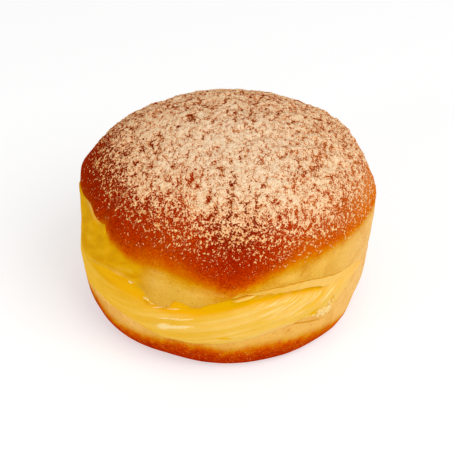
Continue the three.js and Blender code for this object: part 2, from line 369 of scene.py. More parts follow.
# Sugar counts from the least, where there is none, over 0, where it covers half, to the most
SUGAR_MOST = 2.7
SUGAR_LEAST = -5.0
THICK_SUGAR = {"x": 1 * MM, "y": -10 * MM, "across": 27 * MM, "thinner": 1.95}
sugar_half = ring_curve(SUGAR_HALF, softness=3)
sugar_fade_above = ring_curve(SUGAR_FADE_ABOVE, softness=3)
sugar_fade_below = ring_curve(SUGAR_FADE_BELOW, softness=3)

# Creases of the pale dough: one in the base under the end of the cut, one in the cap above it
BASE_CREASE = [
    (10, 16.0), (14, 16.6), (20, 18.0), (25, 17.6), (30, 16.6), (36, 15.0), (42, 13.5), (48, 12.6),
]
BASE_CREASE_SHOWN = ((20, 24), (36, 45))
BASE_CREASE_FORM = {"depth": 0.15 * MM, "width": 0.6 * MM, "lip": 0.12 * MM, "lip_width": 1.2 * MM}
CAP_CREASE = {"top": (31.5, 40.0 * MM), "bottom": (28.4, 33.8 * MM)}
CAP_CREASE_SHOWN = ((-0.1, 0.3), (0.6, 1.1))
CAP_CREASE_FORM = {"depth": 0.35 * MM, "width": 0.8 * MM, "shade": 0.7}
BASE_TOP = 24 * MM
base_crease = ring_curve(BASE_CREASE, softness=1.2)

# The thin knife line that runs on past the wide part of the cut, above the custard on the right
SLIT = [
    (0, 31.0), (2, 31.6), (5, 32.4), (8, 33.0), (13, 33.4), (20, 33.5), (28, 33.3), (35, 32.4),
    (42, 30.9), (47, 29.6), (55, 28.6), (62, 27.0), (70, 25.0),
]
# Where the slit's line of painted shade shows, and where and by how much it grows fainter
SLIT_SHOWN = ((2, 7), (54, 62))
SLIT_FAINTER = {"at": (46, 52), "by": 0.6}
slit_line = ring_curve(SLIT, softness=1.0)

# Paler and duller spots of the pale ring: azimuth, height, half length in degrees and half width
PALE_SPOTS = [
    (-5, 34.4, 5, 1.1), (-10, 32.2, 5, 1.2), (-2, 32.8, 4, 0.8), (-26, 37.6, 4, 1.6),
    (-27, 33.5, 5, 2.6), (38, 39.0, 2.0, 0.6), (42, 40.2, 1.4, 0.5), (46, 38.6, 1.6, 0.5),
    (24, 36.0, 5.0, 1.6), (38, 37.4, 5.0, 1.5),
]
DULL_SPOTS = [
    (-14, 37.6, 3.2, 1.5), (-12, 34.9, 2.0, 0.5), (-32, 36.5, 3.0, 3.0), (30, 38.2, 2.6, 2.6),
    (-57, 12.5, 6, 2.0), (14.7, 16.6, 0.6, 0.4),
]
# Sides that are darker and lighter, partly from baking and partly as painted shade on the left, away from
# the key light, and painted light on the lit right: azimuth, spread, and the heights between which that
# starts
DARKER_AND_SHADED_SIDE = (-78, 34, 20 * MM, 30 * MM)
LIGHTER_AND_LIT_SIDE = (82, 32, 0, 6 * MM)
# Where the base's colour changes from left to right, painted lighter on the shaded left than on the lit
# right, and how high it goes, also round the back
BASE_LIT = (-50, 20)
BASE_COLOURED = {"up_to": (20 * MM, 26 * MM), "behind": (80, 120), "higher": 13 * MM}
# The thin custard that stains the dough on the left, that many degrees round and from those heights
# up, and the slant at which its folds hang: shares of the height and of the way round
STAINED = {"azimuths": ((26, 36), (92, 106)), "heights": (26 * MM, 30 * MM)}
DRAPE_SLANT = (0.86, 0.5)

# Unevenness of the skin: size of the lumps, how far they rise, and the seed of their noise
SKIN_LUMPS = [(12 * MM, 0.30 * MM, 2.0), (4 * MM, 0.10 * MM, 5.0)]
RING_WRINKLES = [(8 * MM, 0.10 * MM, 9.0), (3.5 * MM, 0.05 * MM, 4.0)]
WRINKLE_FLATNESS = 4.5
CRUST_CRINKLES = [(4.6 * MM, 0.40 * MM, 7.0), (2.1 * MM, 0.26 * MM, 3.0)]
CRINKLES_SUNK = 0.3 * MM
CRINKLES_START = (3 * MM, 9 * MM)
KNOBBLY_SIDE = {"azimuth": 100, "spread": 45, "more": 1.2}
FOOT_FLAT = (0.2 * MM, 3 * MM)


def spots(listed, azimuth, height, across=None):
    """Strongest of the listed oblong spots at each place, 0 to 1, level or along the strokes."""
    found = np.zeros_like(azimuth)
    for centre, level, long, wide in listed:
        level = level * MM
        off = across(azimuth, height) - across(centre, level) if across else height - level
        found = np.maximum(found, bell(turn_to(azimuth, centre), long) * bell(off, wide * MM))
    return found


def skin_relief(azimuth, reach, height, pale):
    """How far the dough's lumps and the wrinkles of its pale ring lift the skin."""
    lumpy = rough_noise(placed(azimuth, reach, height), SKIN_LUMPS)
    across_ring = np.stack([arc_length(azimuth), reach, height * WRINKLE_FLATNESS], axis=1)
    return lumpy + rough_noise(across_ring, RING_WRINKLES) * pale


points = read_points(dough_mesh)
normals = read_normals(dough_mesh)
azimuth, radius, height = round_the_axis(points)

below_skin = skin_radius(azimuth, height) - radius
ends = np.maximum(smoothstep(height, *TOP_SKIN), 1 - smoothstep(height, *FOOT_SKIN))
on_skin = np.maximum(ends, 1 - smoothstep(below_skin, *SKIN_DEPTH))
above_crust_edge = height - crust_edge(azimuth)
below_foot_edge = foot_edge(azimuth) - height
below_foot_edge = below_foot_edge * np.where(below_foot_edge > 0, FOOT_STEEPNESS, 1)
underside = (1 - smoothstep(radius, *UNDERSIDE["radius"])) * (1 - smoothstep(height, *UNDERSIDE["height"]))
below_foot_edge = blend(below_foot_edge, UNDERSIDE["baked"], underside)
lightly = 1 - sum(less * bell(azimuth - centre, spread) for centre, spread, less in LIGHTLY_BAKED)
crust_baked = above_crust_edge * np.where(above_crust_edge > 0, lightly, 1)
baked = np.maximum(crust_baked, below_foot_edge)
pale = on_skin * (1 - smoothstep(baked, *EDGE_BLEND))

above_half = height - sugar_half(azimuth)
sugar_fade = np.where(above_half > 0, sugar_fade_above(azimuth), sugar_fade_below(azimuth))
from_thick = np.hypot(points[:, 0] - THICK_SUGAR["x"], points[:, 1] - THICK_SUGAR["y"])
most = SUGAR_MOST - THICK_SUGAR["thinner"] * (1 - bell(from_thick, THICK_SUGAR["across"]))
sugared = np.clip(above_half / sugar_fade, SUGAR_LEAST, None)
sugared = np.where(sugared > 0, most * np.tanh(sugared / most), sugared)

to_base_crease = height - base_crease(azimuth)
crease_shown = window(azimuth, *BASE_CREASE_SHOWN)
(top_azimuth, crease_top), (bottom_azimuth, crease_bottom) = CAP_CREASE["top"], CAP_CREASE["bottom"]
up_crease = (height - crease_bottom) / (crease_top - crease_bottom)
to_cap_crease = arc_length(azimuth - blend(bottom_azimuth, top_azimuth, up_crease))
cap_crease_shown = window(up_crease, *CAP_CREASE_SHOWN)

rise = on_skin * skin_relief(azimuth, radius, height, pale)
knobbly = 1 + KNOBBLY_SIDE["more"] * bell(turn_to(azimuth, KNOBBLY_SIDE["azimuth"]), KNOBBLY_SIDE["spread"])
crinkled = rough_noise(points, CRUST_CRINKLES) * knobbly - CRINKLES_SUNK
rise = rise + crinkled * smoothstep(above_crust_edge, *CRINKLES_START)
rise = rise + CRUST_RISE * on_skin * smoothstep(above_crust_edge, *EDGE_BLEND)
form = BASE_CREASE_FORM
folded = form["lip"] * bell(to_base_crease - form["lip_width"], form["lip_width"])
folded = folded - form["depth"] * bell(to_base_crease, form["width"])
rise = rise + folded * crease_shown * on_skin
form = CAP_CREASE_FORM
rise = rise - form["depth"] * bell(to_cap_crease, form["width"]) * cap_crease_shown * on_skin
points = points + normals * (rise * smoothstep(height, *FOOT_FLAT))[:, None]
dough_mesh.vertices.foreach_set("co", points.ravel())
dough_mesh.update()
dough_mesh.shade_smooth()

in_base = height < BASE_TOP
store(
    dough_mesh,
    on_skin=on_skin,
    sugared=blend(SUGAR_LEAST, sugared, on_skin),
    to_crease=np.where(in_base, to_base_crease, to_cap_crease),
    crease=np.where(in_base, crease_shown, cap_crease_shown * CAP_CREASE_FORM["shade"]),
    stained=window(-azimuth, *STAINED["azimuths"]) * smoothstep(height, *STAINED["heights"]),
)


def on_side(azimuth, height, side):
    centre, spread, low, high = side
    return bell(turn_to(azimuth, centre), spread) * smoothstep(height, low, high)


def store_skin(mesh, azimuth, height, baked):
    """What the colour of the dough's skin depends on, at every point of a mesh."""
    behind = BASE_COLOURED["higher"] * smoothstep(np.abs(azimuth), *BASE_COLOURED["behind"])
    fainter = SLIT_FAINTER["by"] * smoothstep(azimuth, *SLIT_FAINTER["at"])
    arc = arc_length(azimuth)
    steep, flat = DRAPE_SLANT
    store(
        mesh,
        baked=baked,
        dark_side=on_side(azimuth, height, DARKER_AND_SHADED_SIDE),
        light_side=on_side(azimuth, height, LIGHTER_AND_LIT_SIDE),
        lit=smoothstep(azimuth, *BASE_LIT),
        base_side=1 - smoothstep(height - behind, *BASE_COLOURED["up_to"]),
        to_slit=height - slit_line(azimuth),
        slit=window(azimuth, *SLIT_SHOWN) * (1 - fainter),
        pale_spots=spots(PALE_SPOTS, azimuth, height),
        dull_spots=spots(DULL_SPOTS, azimuth, height),
        drape=steep * height - flat * arc,
        drape_along=flat * height + steep * arc,
    )


store_skin(dough_mesh, azimuth, height, np.where(on_skin > 0.5, baked, CUT_FACE_BAKED))


class Shade:
    """A socket of a node tree, on which sums, products and other nodes can be built."""

    def __init__(self, tree, socket=None):
        self.tree = tree
        self.socket = socket

    def node(self, kind, settings=None, sockets=None, output=0):
        """A new node with its settings, then the values or links of its sockets."""
        made = self.tree.nodes.new(kind)
        for name, value in (settings or {}).items():
            if name == "stops":
                while len(made.color_ramp.elements) < len(value):
                    made.color_ramp.elements.new(0.5)
                for element, (place, colour) in zip(made.color_ramp.elements, value):
                    element.position = place
                    element.color = (*colour, 1)
            else:
                setattr(made, name, value)
        self.feed(made, sockets or {})
        return Shade(self.tree, made.outputs[output] if made.outputs else None)

    def feed(self, made, sockets):
        """Gives the sockets of a node their values or links."""
        for name, value in sockets.items():
            if isinstance(value, Shade):
                self.tree.links.new(value.socket, made.inputs[name])
            else:
                made.inputs[name].default_value = value

    def math(self, operation, *values):
        return self.node("ShaderNodeMath", {"operation": operation}, dict(enumerate(values)))

    def __add__(self, other):
        return self.math("ADD", self, other)

    def __sub__(self, other):
        return self.math("SUBTRACT", self, other)

    def __rsub__(self, other):
        return self.math("SUBTRACT", other, self)

    def __mul__(self, other):
        return self.math("MULTIPLY", self, other)

    def __truediv__(self, other):
        return self.math("DIVIDE", self, other)

    def __rtruediv__(self, other):
        return self.math("DIVIDE", other, self)

    __radd__ = __add__
    __rmul__ = __mul__

    def __abs__(self):
        return self.math("ABSOLUTE", self)

    def between(self, start, end):
        """0 below start, 1 above end, and smooth in between."""
        limits = {"Value": self, "From Min": start, "From Max": end}
        return self.node("ShaderNodeMapRange", {"interpolation_type": "SMOOTHSTEP"}, limits)

    def colour(self, first, second):
        """The first colour where this is 0, the second where it is 1."""
        return self.node("ShaderNodeMix", {"data_type": "RGBA"}, {0: self, 6: first, 7: second}, 2)

    def tinted(self, colour):
        """This colour multiplied by another."""
        settings = {"data_type": "RGBA", "blend_type": "MULTIPLY"}
        return self.node("ShaderNodeMix", settings, {0: 1.0, 6: self, 7: colour}, 2)

    def attribute(self, name):
        return self.node("ShaderNodeAttribute", {"attribute_name": name}, output=2)

    def lumps(self, place, size, detail=2.0, stretch=(1, 1, 1)):
        """Noise around 0.5 with lumps of the given size, stretched along the axes."""
        if stretch != (1, 1, 1):
            scale = {"Vector": place, "Scale": stretch}
            place = self.node("ShaderNodeMapping", {"vector_type": "POINT"}, scale)
        sockets = {"Vector": place, "Scale": 1 / size, "Detail": detail}
        return self.node("ShaderNodeTexNoise", None, sockets)

    def cells(self, place, size, output):
        """Cells of the given size: the way to a cell's middle (output 0) or its own tone (1)."""
        return self.node("ShaderNodeTexVoronoi", None, {"Vector": place, "Scale": 1 / size}, output)


def seen(red, green, blue):
    """Linear colour, with alpha, of a colour given as it is seen, 0 to 255."""
    shares = np.array([red, green, blue]) / 255
    linear = np.where(shares <= 0.04045, shares / 12.92, ((shares + 0.055) / 1.055) ** 2.4)
    return (*linear.tolist(), 1.0)


def new_finish(name):
    """A material with its surface shader, and a Shade that starts its other nodes."""
    material = bpy.data.materials.new(name)
    material.use_nodes = True
    surface = material.node_tree.nodes["Principled BSDF"]
    return material, surface, Shade(material.node_tree)


# Sizes of the sugar's clumps, crumbs, grains, puffs and cracks, which are drawn out front to back
SUGAR_STRETCH = (1, 0.62, 1)
CLUMP_SIZE = 3.2 * MM
CRUMB_SIZE = 1.1 * MM
GRAIN_SIZE = 0.42 * MM
CELL_SIZE = 0.5 * MM
PUFF_SIZE = 1.5 * MM
CRACK_SPACING = 2.6 * MM
CRACKED_AREA = 6 * MM
# How much the unevenness counts where the sugar is thick and where it is strewn
THICK_CONTRAST = 16.5
STREWN_CONTRAST = 14.5
SUGAR_DENSE = (-1.0, 1.6)
# What clumps, crumbs and grains add to thick and to strewn sugar, then puffs, cracks and the cover
THICK_SHARES = {"clumps": 0.23, "crumbs": 0.25, "grains": 0.37}
STREWN_SHARES = {"crumbs": 0.38, "grains": 0.62}
PUFF_RISE = 3.2
CRACK_DEPTH = 1.8
COVER_RISE = 0.6


def sugar_mask(start, place, sugared):
    """How much icing sugar lies at a place: above 0 on a share of the crust that sugared sets."""
    place = start.node("ShaderNodeVectorMath", {"operation": "MULTIPLY"}, {0: place, 1: SUGAR_STRETCH})
    clumps = start.lumps(place, CLUMP_SIZE, 1.0) - 0.5
    crumbs = start.lumps(place, CRUMB_SIZE, 2.0) - 0.5
    grains = start.lumps(place, GRAIN_SIZE, 1.0) - 0.5
    puffs = 0.52 - start.cells(place, PUFF_SIZE, 0)
    single = grains * 0.7 + (start.cells(place, CELL_SIZE, 1) - 0.5) * 0.32
    cracks = 1 - abs(start.lumps(place, CRACK_SPACING, 1.0) - 0.5).between(0.0, 0.022)
    cracked = start.lumps(place, CRACKED_AREA, 1.0).between(0.40, 0.54) * cracks
    heaped = clumps * THICK_SHARES["clumps"] + crumbs * THICK_SHARES["crumbs"]
    heaped = (heaped + grains * THICK_SHARES["grains"]) * THICK_CONTRAST
    merged = heaped + puffs * PUFF_RISE - cracked * CRACK_DEPTH
    strewn = (crumbs * STREWN_SHARES["crumbs"] + single * STREWN_SHARES["grains"]) * STREWN_CONTRAST
    return strewn + (merged - strewn) * sugared.between(*SUGAR_DENSE) + sugared * COVER_RISE


# Colours of the thin custard film, deep to pale
FILM_DEEP = seen(215, 150, 2)
FILM_YELLOW = seen(226, 164, 6)
FILM_PALE = seen(232, 174, 56)
FILM_FOLDS = {"size": 3.4 * MM, "stretch": (0.35, 1, 1)}
FILM_CLOUDS = 6 * MM


def thin_custard(start, place):
    """Colour of the custard film on the left side, with slanting folds: also stains the dough there."""
    along, across = start.attribute("drape_along"), start.attribute("drape")
    spot = start.node("ShaderNodeCombineXYZ", None, {0: along, 1: across})
    folds = start.lumps(spot, FILM_FOLDS["size"], 3.0, FILM_FOLDS["stretch"])
    clouds = start.lumps(place, FILM_CLOUDS, 2.0).between(0.42, 0.6)
    film = folds.between(0.36, 0.64).colour(FILM_DEEP, FILM_YELLOW)
    return (folds.between(0.56, 0.70) * clouds * 0.4).colour(film, FILM_PALE)


SUGAR_LIGHT = seen(252, 230, 196)
SUGAR_SHADE = seen(234, 184, 134)
SUGAR_THIN = seen(216, 112, 40)
SUGAR_HAZE = seen(226, 150, 88)
BASE_LIGHTENED_IN_SHADE = seen(246, 193, 104)
BASE_WHERE_LIT = seen(235, 182, 92)
LIGHTER_AND_LIT_DOUGH = seen(240, 194, 126)
LIGHTER_AND_LIT_CRUST = seen(238, 132, 16)
PALE_SPOT = seen(240, 187, 88)
CREASE_AND_SLIT_SHADE = seen(204, 136, 0)
FLOUR_SPECK = seen(240, 178, 96)
# Tints, which multiply the colour that they lie on
CRUST_GRAIN = seen(209, 160, 132)
FOOT_PATCH = seen(222, 176, 162)
DARKER_BAKED_AND_SHADED = seen(230, 216, 226)
DULL_MARK = seen(230, 192, 120)
SHADE_BESIDE_SUGAR = seen(204, 166, 160)

# Colour of the skin by how far it lies past the edge of a crust, from pale dough to dark crust
CRUST_COLOURS = [
    (-6, (225, 174, 62)), (-4, (222, 165, 42)), (-3, (219, 157, 26)), (-2, (217, 148, 8)),
    (-1, (215, 137, 0)), (0, (212, 118, 0)), (1, (212, 101, 0)), (2, (209, 86, 0)),
    (4, (201, 65, 0)), (7, (192, 53, 0)), (11, (178, 40, 1)), (15, (154, 34, 4)), (20, (138, 40, 12)),
]
RAMP_START = -6 * MM
RAMP_LENGTH = 26 * MM
# How far the edge of the crust wanders, more so on the base, and how far single grains cross it
EDGE_WANDER = 3.4 * MM
BASE_WANDER = 4 * MM
EDGE_SPECKLE = 4 * MM
# From and to how far past the edge the skin turns brown, is no longer pale, hides the stain of
# custard, is high up on the crust, and shows specks of flour
BROWNED_DEPTH = (-0.5 * MM, 3 * MM)
PALE_DEPTH = (-4 * MM, 0.5 * MM)
STAIN_DEPTH = (-3 * MM, 1.5 * MM)
HIGH_DEPTH = (7 * MM, 12 * MM)
SPECK_DEPTH = (-7 * MM, 2 * MM)
# Half widths of the painted shade lines along the creases and the slit, where they start to fade and where
# they end
CREASE_WIDTH = (0.08 * MM, 0.60 * MM)
SLIT_WIDTH = (0.08 * MM, 0.34 * MM)
# Sizes of the patterns in the dough's colour
SKIN_SIZES = {
    "wander": 3.2 * MM,
    "speckle": 0.6 * MM,
    "blotch": 7 * MM,
    "mottle": 0.9 * MM,
    "grain": 0.42 * MM,
    "foot_patch": 1.8 * MM,
    "wrinkle": 4 * MM,
    "pore": 0.9 * MM,
    "sugar_dust": 0.36 * MM,
    "flour_speck": 0.62 * MM,
}
WRINKLE_STRETCH = (1, 1, 5)


def skin_colour(start, place):
    """Colour of the dough's skin, how browned it is there and the marks on its pale part."""
    depth = start.attribute("baked")
    wander = start.lumps(place, SKIN_SIZES["wander"], 3.0) - 0.5
    speckle = start.lumps(place, SKIN_SIZES["speckle"], 2.0) - 0.5
    base_side = start.attribute("base_side")
    edge_depth = depth + wander * (base_side * BASE_WANDER + EDGE_WANDER) + speckle * EDGE_SPECKLE
    stops = [((mm * MM - RAMP_START) / RAMP_LENGTH, seen(*rgb)[:3]) for mm, rgb in CRUST_COLOURS]
    ramp_place = (edge_depth - RAMP_START) / RAMP_LENGTH
    bread = start.node("ShaderNodeValToRGB", {"stops": stops}, {"Fac": ramp_place})
    browned = depth.between(*BROWNED_DEPTH)
    pale = 1 - depth.between(*PALE_DEPTH)
    light_side = start.attribute("light_side")
    # Painted light: the base is painted lighter on its shaded left than on its lit right
    base = start.attribute("lit").colour(BASE_LIGHTENED_IN_SHADE, BASE_WHERE_LIT)
    bread = (base_side * pale * 0.85).colour(bread, base)
    # Painted light, partly: the pale dough of the lit right side is lighter
    bread = (light_side * pale * 0.9).colour(bread, LIGHTER_AND_LIT_DOUGH)
    stained = start.attribute("stained") * (1 - depth.between(*STAIN_DEPTH))
    bread = stained.colour(bread, thin_custard(start, place))

    blotch = start.lumps(place, SKIN_SIZES["blotch"], 2.0)
    mottle = start.lumps(place, SKIN_SIZES["mottle"], 3.0)
    grainy = start.lumps(place, SKIN_SIZES["grain"], 1.0)
    dark = grainy.between(0.36, 0.64) * 0.45 + mottle.between(0.38, 0.62) * 0.3
    dark = dark + blotch.between(0.3, 0.7) * 0.25
    bread = (dark * browned).colour(bread, bread.tinted(CRUST_GRAIN))
    patchy = start.lumps(place, SKIN_SIZES["foot_patch"], 1.0).between(0.42, 0.6) * browned * base_side
    bread = (patchy * 0.5).colour(bread, bread.tinted(FOOT_PATCH))
    # Painted shade, partly: the crust of the left side, away from the key light, is tinted darker
    bread = (start.attribute("dark_side") * browned).colour(bread, bread.tinted(DARKER_BAKED_AND_SHADED))
    high = depth.between(*HIGH_DEPTH)
    # Painted light, partly: the crust of the lit right side turns a lighter amber
    bread = (light_side * browned * (0.8 - high * 0.6)).colour(bread, LIGHTER_AND_LIT_CRUST)

    wrinkles = start.lumps(place, SKIN_SIZES["wrinkle"], 3.0, WRINKLE_STRETCH)
    pores = start.lumps(place, SKIN_SIZES["pore"], 1.0).between(0.70, 0.78)
    near_crease = 1 - abs(start.attribute("to_crease")).between(*CREASE_WIDTH)
    near_slit = 1 - abs(start.attribute("to_slit")).between(*SLIT_WIDTH)
    crease = near_crease * start.attribute("crease")
    slit = near_slit * start.attribute("slit")
    dull = mottle.between(0.50, 0.66) * 0.22 + blotch.between(0.45, 0.65) * 0.26
    dull = dull + start.attribute("dull_spots") * 0.45
    marks = pores * 0.5 + wrinkles.between(0.55, 0.75) * 0.2 + grainy.between(0.48, 0.66) * 0.16 + dull
    marks = marks * (1 - browned) * (1 - stained * 0.85)
    bread = marks.colour(bread, bread.tinted(DULL_MARK))
    bread = (start.attribute("pale_spots") * pale * (1 - stained) * 0.5).colour(bread, PALE_SPOT)
    # Painted shade: a dark golden line along the creases and the knife slit
    lines = crease.math("MAXIMUM", crease, slit)
    bread = (lines * 0.9).colour(bread, CREASE_AND_SLIT_SHADE)
    relief = mottle * 0.16 + wrinkles * (1 - browned) * 0.4 - (marks * 3.0 + lines) * 0.1
    return bread, browned, relief, lines


crusty, surface, start = new_finish("fried_dough")
place = start.node("ShaderNodeTexCoord", output=3)
bread, browned, relief = skin_colour(start, place)[:3]
skin = start.attribute("on_skin")
sugared = start.attribute("sugared")
mask = sugar_mask(start, place, sugared)
dense = sugared.between(*SUGAR_DENSE)
# Painted shadow: the crust is darkened in a ring round the sugar, as the sugar's contact shadow
shade_beside_sugar = mask.between(-2.4, -0.9) * (1 - mask.between(-0.8, -0.2)) * skin * browned
bread = (shade_beside_sugar * 0.7).colour(bread, bread.tinted(SHADE_BESIDE_SUGAR))
veil = mask.between(dense * -0.7 - 0.2, 0.35) * (0.75 + dense * 0.1)
dust = start.lumps(place, SKIN_SIZES["sugar_dust"], 1.0).between(0.60, 0.68)
dust = dust * sugared.between(-3.0, 0.2) * 0.62
powder = veil.math("MAXIMUM", veil, dust) * skin * browned
bread = powder.between(0.0, 0.55).colour(bread, SUGAR_THIN)
bread = powder.between(0.45, 0.9).colour(bread, SUGAR_SHADE)
haze = start.attribute("light_side") * sugared.between(-1.5, 1.5) * skin * 0.14
bread = haze.colour(bread, SUGAR_HAZE)
specks = start.lumps(place, SKIN_SIZES["flour_speck"], 1.0).between(0.70, 0.74)
specks = specks * (1 - sugared.between(-4.9, -4.0)) * start.attribute("baked").between(*SPECK_DEPTH)
bread = (specks * 0.7).colour(bread, FLOUR_SPECK)
height_map = relief + powder * 0.3
bumped = start.node("ShaderNodeBump", None, {"Height": height_map, "Distance": 0.4 * MM, "Strength": 0.8})
start.feed(surface, {
    "Base Color": bread,
    "Roughness": 0.60 - browned * 0.12 + powder * 0.4,
    "Normal": bumped,
    "Specular IOR Level": 0.0,
    "Subsurface Weight": 0.12,
    "Subsurface Radius": (1.0, 0.5, 0.2),
    "Subsurface Scale": 1.5 * MM,
})
dough_mesh.materials.clear()
dough_mesh.materials.append(crusty)
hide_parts("dough")
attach(dough, "root")

# The custard: thick cooked egg custard, piped into the cut and drawn along the side with a spatula,
# which leaves furrows, and thin smears of it on the dough past both ends of the cut. It runs back
# into a blind pocket in the dough.

CUSTARD_RECESS = 4.6 * MM
POCKET_NOSE = 1.5 * MM
CUSTARD_PRESS = 0.2 * MM
FRONT_SPAN = (-118, 68)
FRONT_FADE = 5
FRONT_STEP = 0.36
BACK_STEP = 3.0
CUSTARD_ROWS = 120
CUSTARD_BULGE = 1.0 * MM
SMEAR_THICKNESS = 0.32 * MM
SMEAR_HIDDEN = 0.45 * MM
HOLLOW_DEPTH = 1.2 * MM
HOLLOW_SPAN = ((-72, -58), (39, 43))
TONGUE_RISE = 0.4 * MM
BELOW_LIP = 0.5 * MM
ABOVE_LIP = 0.4 * MM
PAST_SLIT = 1.3 * MM
# From where on the upper edge follows the slit, and up to where the crust on the left
SLIT_FROM = (1, 6)
CRUST_UP_TO = (-34, -31.5)
# Where the custard lies thinly over the dough, on the left and on the right, and above what height
OVER_DOUGH_LEFT = ((-53, -50), (-33, -31))
OVER_DOUGH_RIGHT = (0, 8)
OVER_DOUGH_ABOVE = (27 * MM, 29 * MM)
# How softly its edge runs out, and how much softer or sharper it is in places
EDGE_RUN_OUT = (-0.5 * MM, 1.3 * MM)
SHARPER_RIGHT = {"from": (-33, -30), "by": 0.5}
SOFTER_OVER_DOUGH = 0.9
SOFT_BOTTOM = {"azimuth": 18, "spread": 12, "below": (20 * MM, 24 * MM)}
# Shares of its thickness and of its hidden rim that are lost over the dough and below the cut
THINNER = {"over_dough": 0.65, "below_cut": 0.75, "rim": 0.6}
BELOW_CUT = (-1 * MM, 1 * MM)
# On the left, that many degrees round, it is flush with the skin. There its edge wanders, and the
# hollow's edges are drawn out and blurred. On the right its furrows are deeper
FLUSH_LEFT = (42, 64)
FLUSH_LOSS = {"bulge": 0.7, "furrow": 0.8}
BULGE_FULLNESS = 0.8
DRAWN_OUT = {"from": (28, 40), "by": 0.5}
BLURRED = {"from": (38, 50), "by": 3}
HOLLOW_TOP_BLEND = (-0.3 * MM, 0.4 * MM)
HOLLOW_BOTTOM_BLEND = (-1.6 * MM, 0.9 * MM)
TONGUE_FORM = (0.25, 0.75)
FURROWS_FROM = (0.5 * MM, 3 * MM)
SMOOTHER_HOLLOW = 0.6
WAVY_EDGE = {"azimuths": ((-64, -50), (-20, 0)), "long": 6, "high": 4 * MM, "by": 0.5 * MM, "seed": 7.7}
DEEPER_RIGHT = (4, 20)
DEEPER_ABOVE = (20 * MM, 24 * MM)
# Furrows: width, length in degrees, depth, how much deeper on the right, and two seeds
FURROWS = [
    (1.5 * MM, 46, 0.14 * MM, 0.09 * MM, 1.5, 0.37),
    (0.65 * MM, 34, 0.05 * MM, 0.17 * MM, 5.5, 0.71),
]
# How far the rows of points go on, below and above the edges that show
ROWS_BELOW = 1.2 * MM
ROWS_ABOVE = 0.8 * MM
INSIDE_SHARES = (0.3, 0.6, 0.8, 0.93)

# Edges of the custard that shows, and of the hollow under the upper lip, whose shade is painted deep
# yellow: azimuth, mm
SMEAR_BOTTOM = [
    (-118, 19.4), (-106, 18.6), (-95, 16.5), (-72, 13.0), (-64, 14.2), (-56, 15.4), (-48, 15.2),
    (-38, 14.0), (-26, 12.6), (-12, 12.4), (0, 13.3), (8, 14.6), (16, 17.1), (22, 19.0),
    (27, 18.8), (33, 17.0), (42, 15.8), (50, 17.6), (57, 20.5), (63, 23.5), (70, 25),
]
LEFT_SMEAR_TOP = [
    (-118, 22.2), (-113, 24.0), (-108, 27.5), (-104, 30.5), (-101, 36.0), (-97, 39.5),
    (-90, 43.0), (-84, 43.6), (-80, 43.8), (-76, 44.4), (-72, 45.4), (-68, 45.9),
    (-65, 45.8), (-62, 44.7), (-60, 44.0), (-58, 43.7), (-56, 44.1), (-54.5, 45.1), (-53.5, 45.7),
    (-52, 44.3), (-50, 41.0), (-48, 39.4), (-44, 38.2), (-40, 36.8), (-37, 36.4), (-34.5, 34.6),
    (-32.5, 31.0), (-31, 28.0),
]
HOLLOW_TOP = [
    (-66, 27.0), (-56, 28.6), (-48, 29.6), (-42, 30.3), (-37, 30.0), (-33, 28.8), (-30.6, 26.2),
    (-29, 24.6), (-21, 24.6), (-20, 28.4), (-14.5, 28.4), (-12.4, 27.2), (-9.3, 27.2), (-7.5, 28.6),
    (-4, 29.7), (0, 30.5), (4, 31.5), (8, 32.4), (13, 31.6), (18, 31.2), (25, 30.6), (30, 30.0),
    (35, 29.2), (39, 28.0), (42, 27.0),
]
HOLLOW_BOTTOM = [
    (-66, 25.6), (-56, 25.4), (-48, 25.4), (-40, 25.4), (-34, 25.0), (-30, 24.2), (-21, 23.4),
    (-16, 23.9), (-10, 24.4), (-5, 25.2), (0, 26.1), (5, 27.1), (10, 28.1), (15, 28.7), (25, 28.8),
    (30, 28.4), (35, 27.7), (39, 27.0), (42, 26.5),
]
# Rise of the spatula's strokes, in mm for each degree
STROKE_SLOPE = [
    (-120, 0.0), (-60, 0.02), (-45, 0.08), (-30, 0.16), (-15, 0.2), (14, 0.2), (24, 0.25), (33, 0.31),
    (40, 0.36), (48, 0.42), (62, 0.5), (75, 0.5),
]
# Tongues of custard that lie across the hollow: azimuth, height, half length and half width
TONGUES = [(7.5, 30.8, 5.2, 0.6), (-45, 30.6, 4.2, 0.7)]
# Painted highlights: pale streaks where the custard shines, which also get a real glossy coat.
# Azimuth, height, half length in degrees and half width
GLINTS = [
    (-38.8, 29.3, 1.2, 0.75), (-30.8, 25.6, 1.8, 0.6), (-28.4, 24.5, 1.5, 0.5),
    (-25.0, 23.9, 3.2, 0.22), (-19.5, 24.4, 3.0, 0.22), (-21, 21.6, 5, 0.24),
    (-14.5, 22.5, 4, 0.22), (-22.5, 18.3, 3.4, 1.3), (-17, 19.3, 6.4, 0.7),
    (41.0, 23.8, 3.0, 0.35), (43.5, 24.9, 2.4, 0.3), (48.6, 22.4, 1.6, 0.5),
]
# Pale patches, some of them painted soft highlights, and deep yellow pools, given in the same way
PALE_PATCHES_AND_SOFT_GLINTS = [
    (-44.5, 30.9, 3.2, 0.7), (3.4, 23.2, 1.8, 0.8), (1.2, 22.0, 1.8, 0.6), (22.7, 24.2, 1.3, 0.8),
    (48.5, 22.4, 2.8, 1.0), (41, 23.6, 6.5, 1.3), (41.5, 16.9, 3.5, 0.9), (14.5, 30.2, 2.5, 0.4),
    (21, 30.5, 3.0, 0.35), (26, 29.8, 3.0, 0.3), (31, 29.2, 2.5, 0.3), (24, 28.6, 4, 0.25),
]
YELLOW_POOLS = [(36.2, 18.9, 2.2, 0.9), (38.6, 17.9, 1.4, 0.6), (46.5, 20.2, 1.0, 0.5), (0, 16.2, 3, 0.35)]

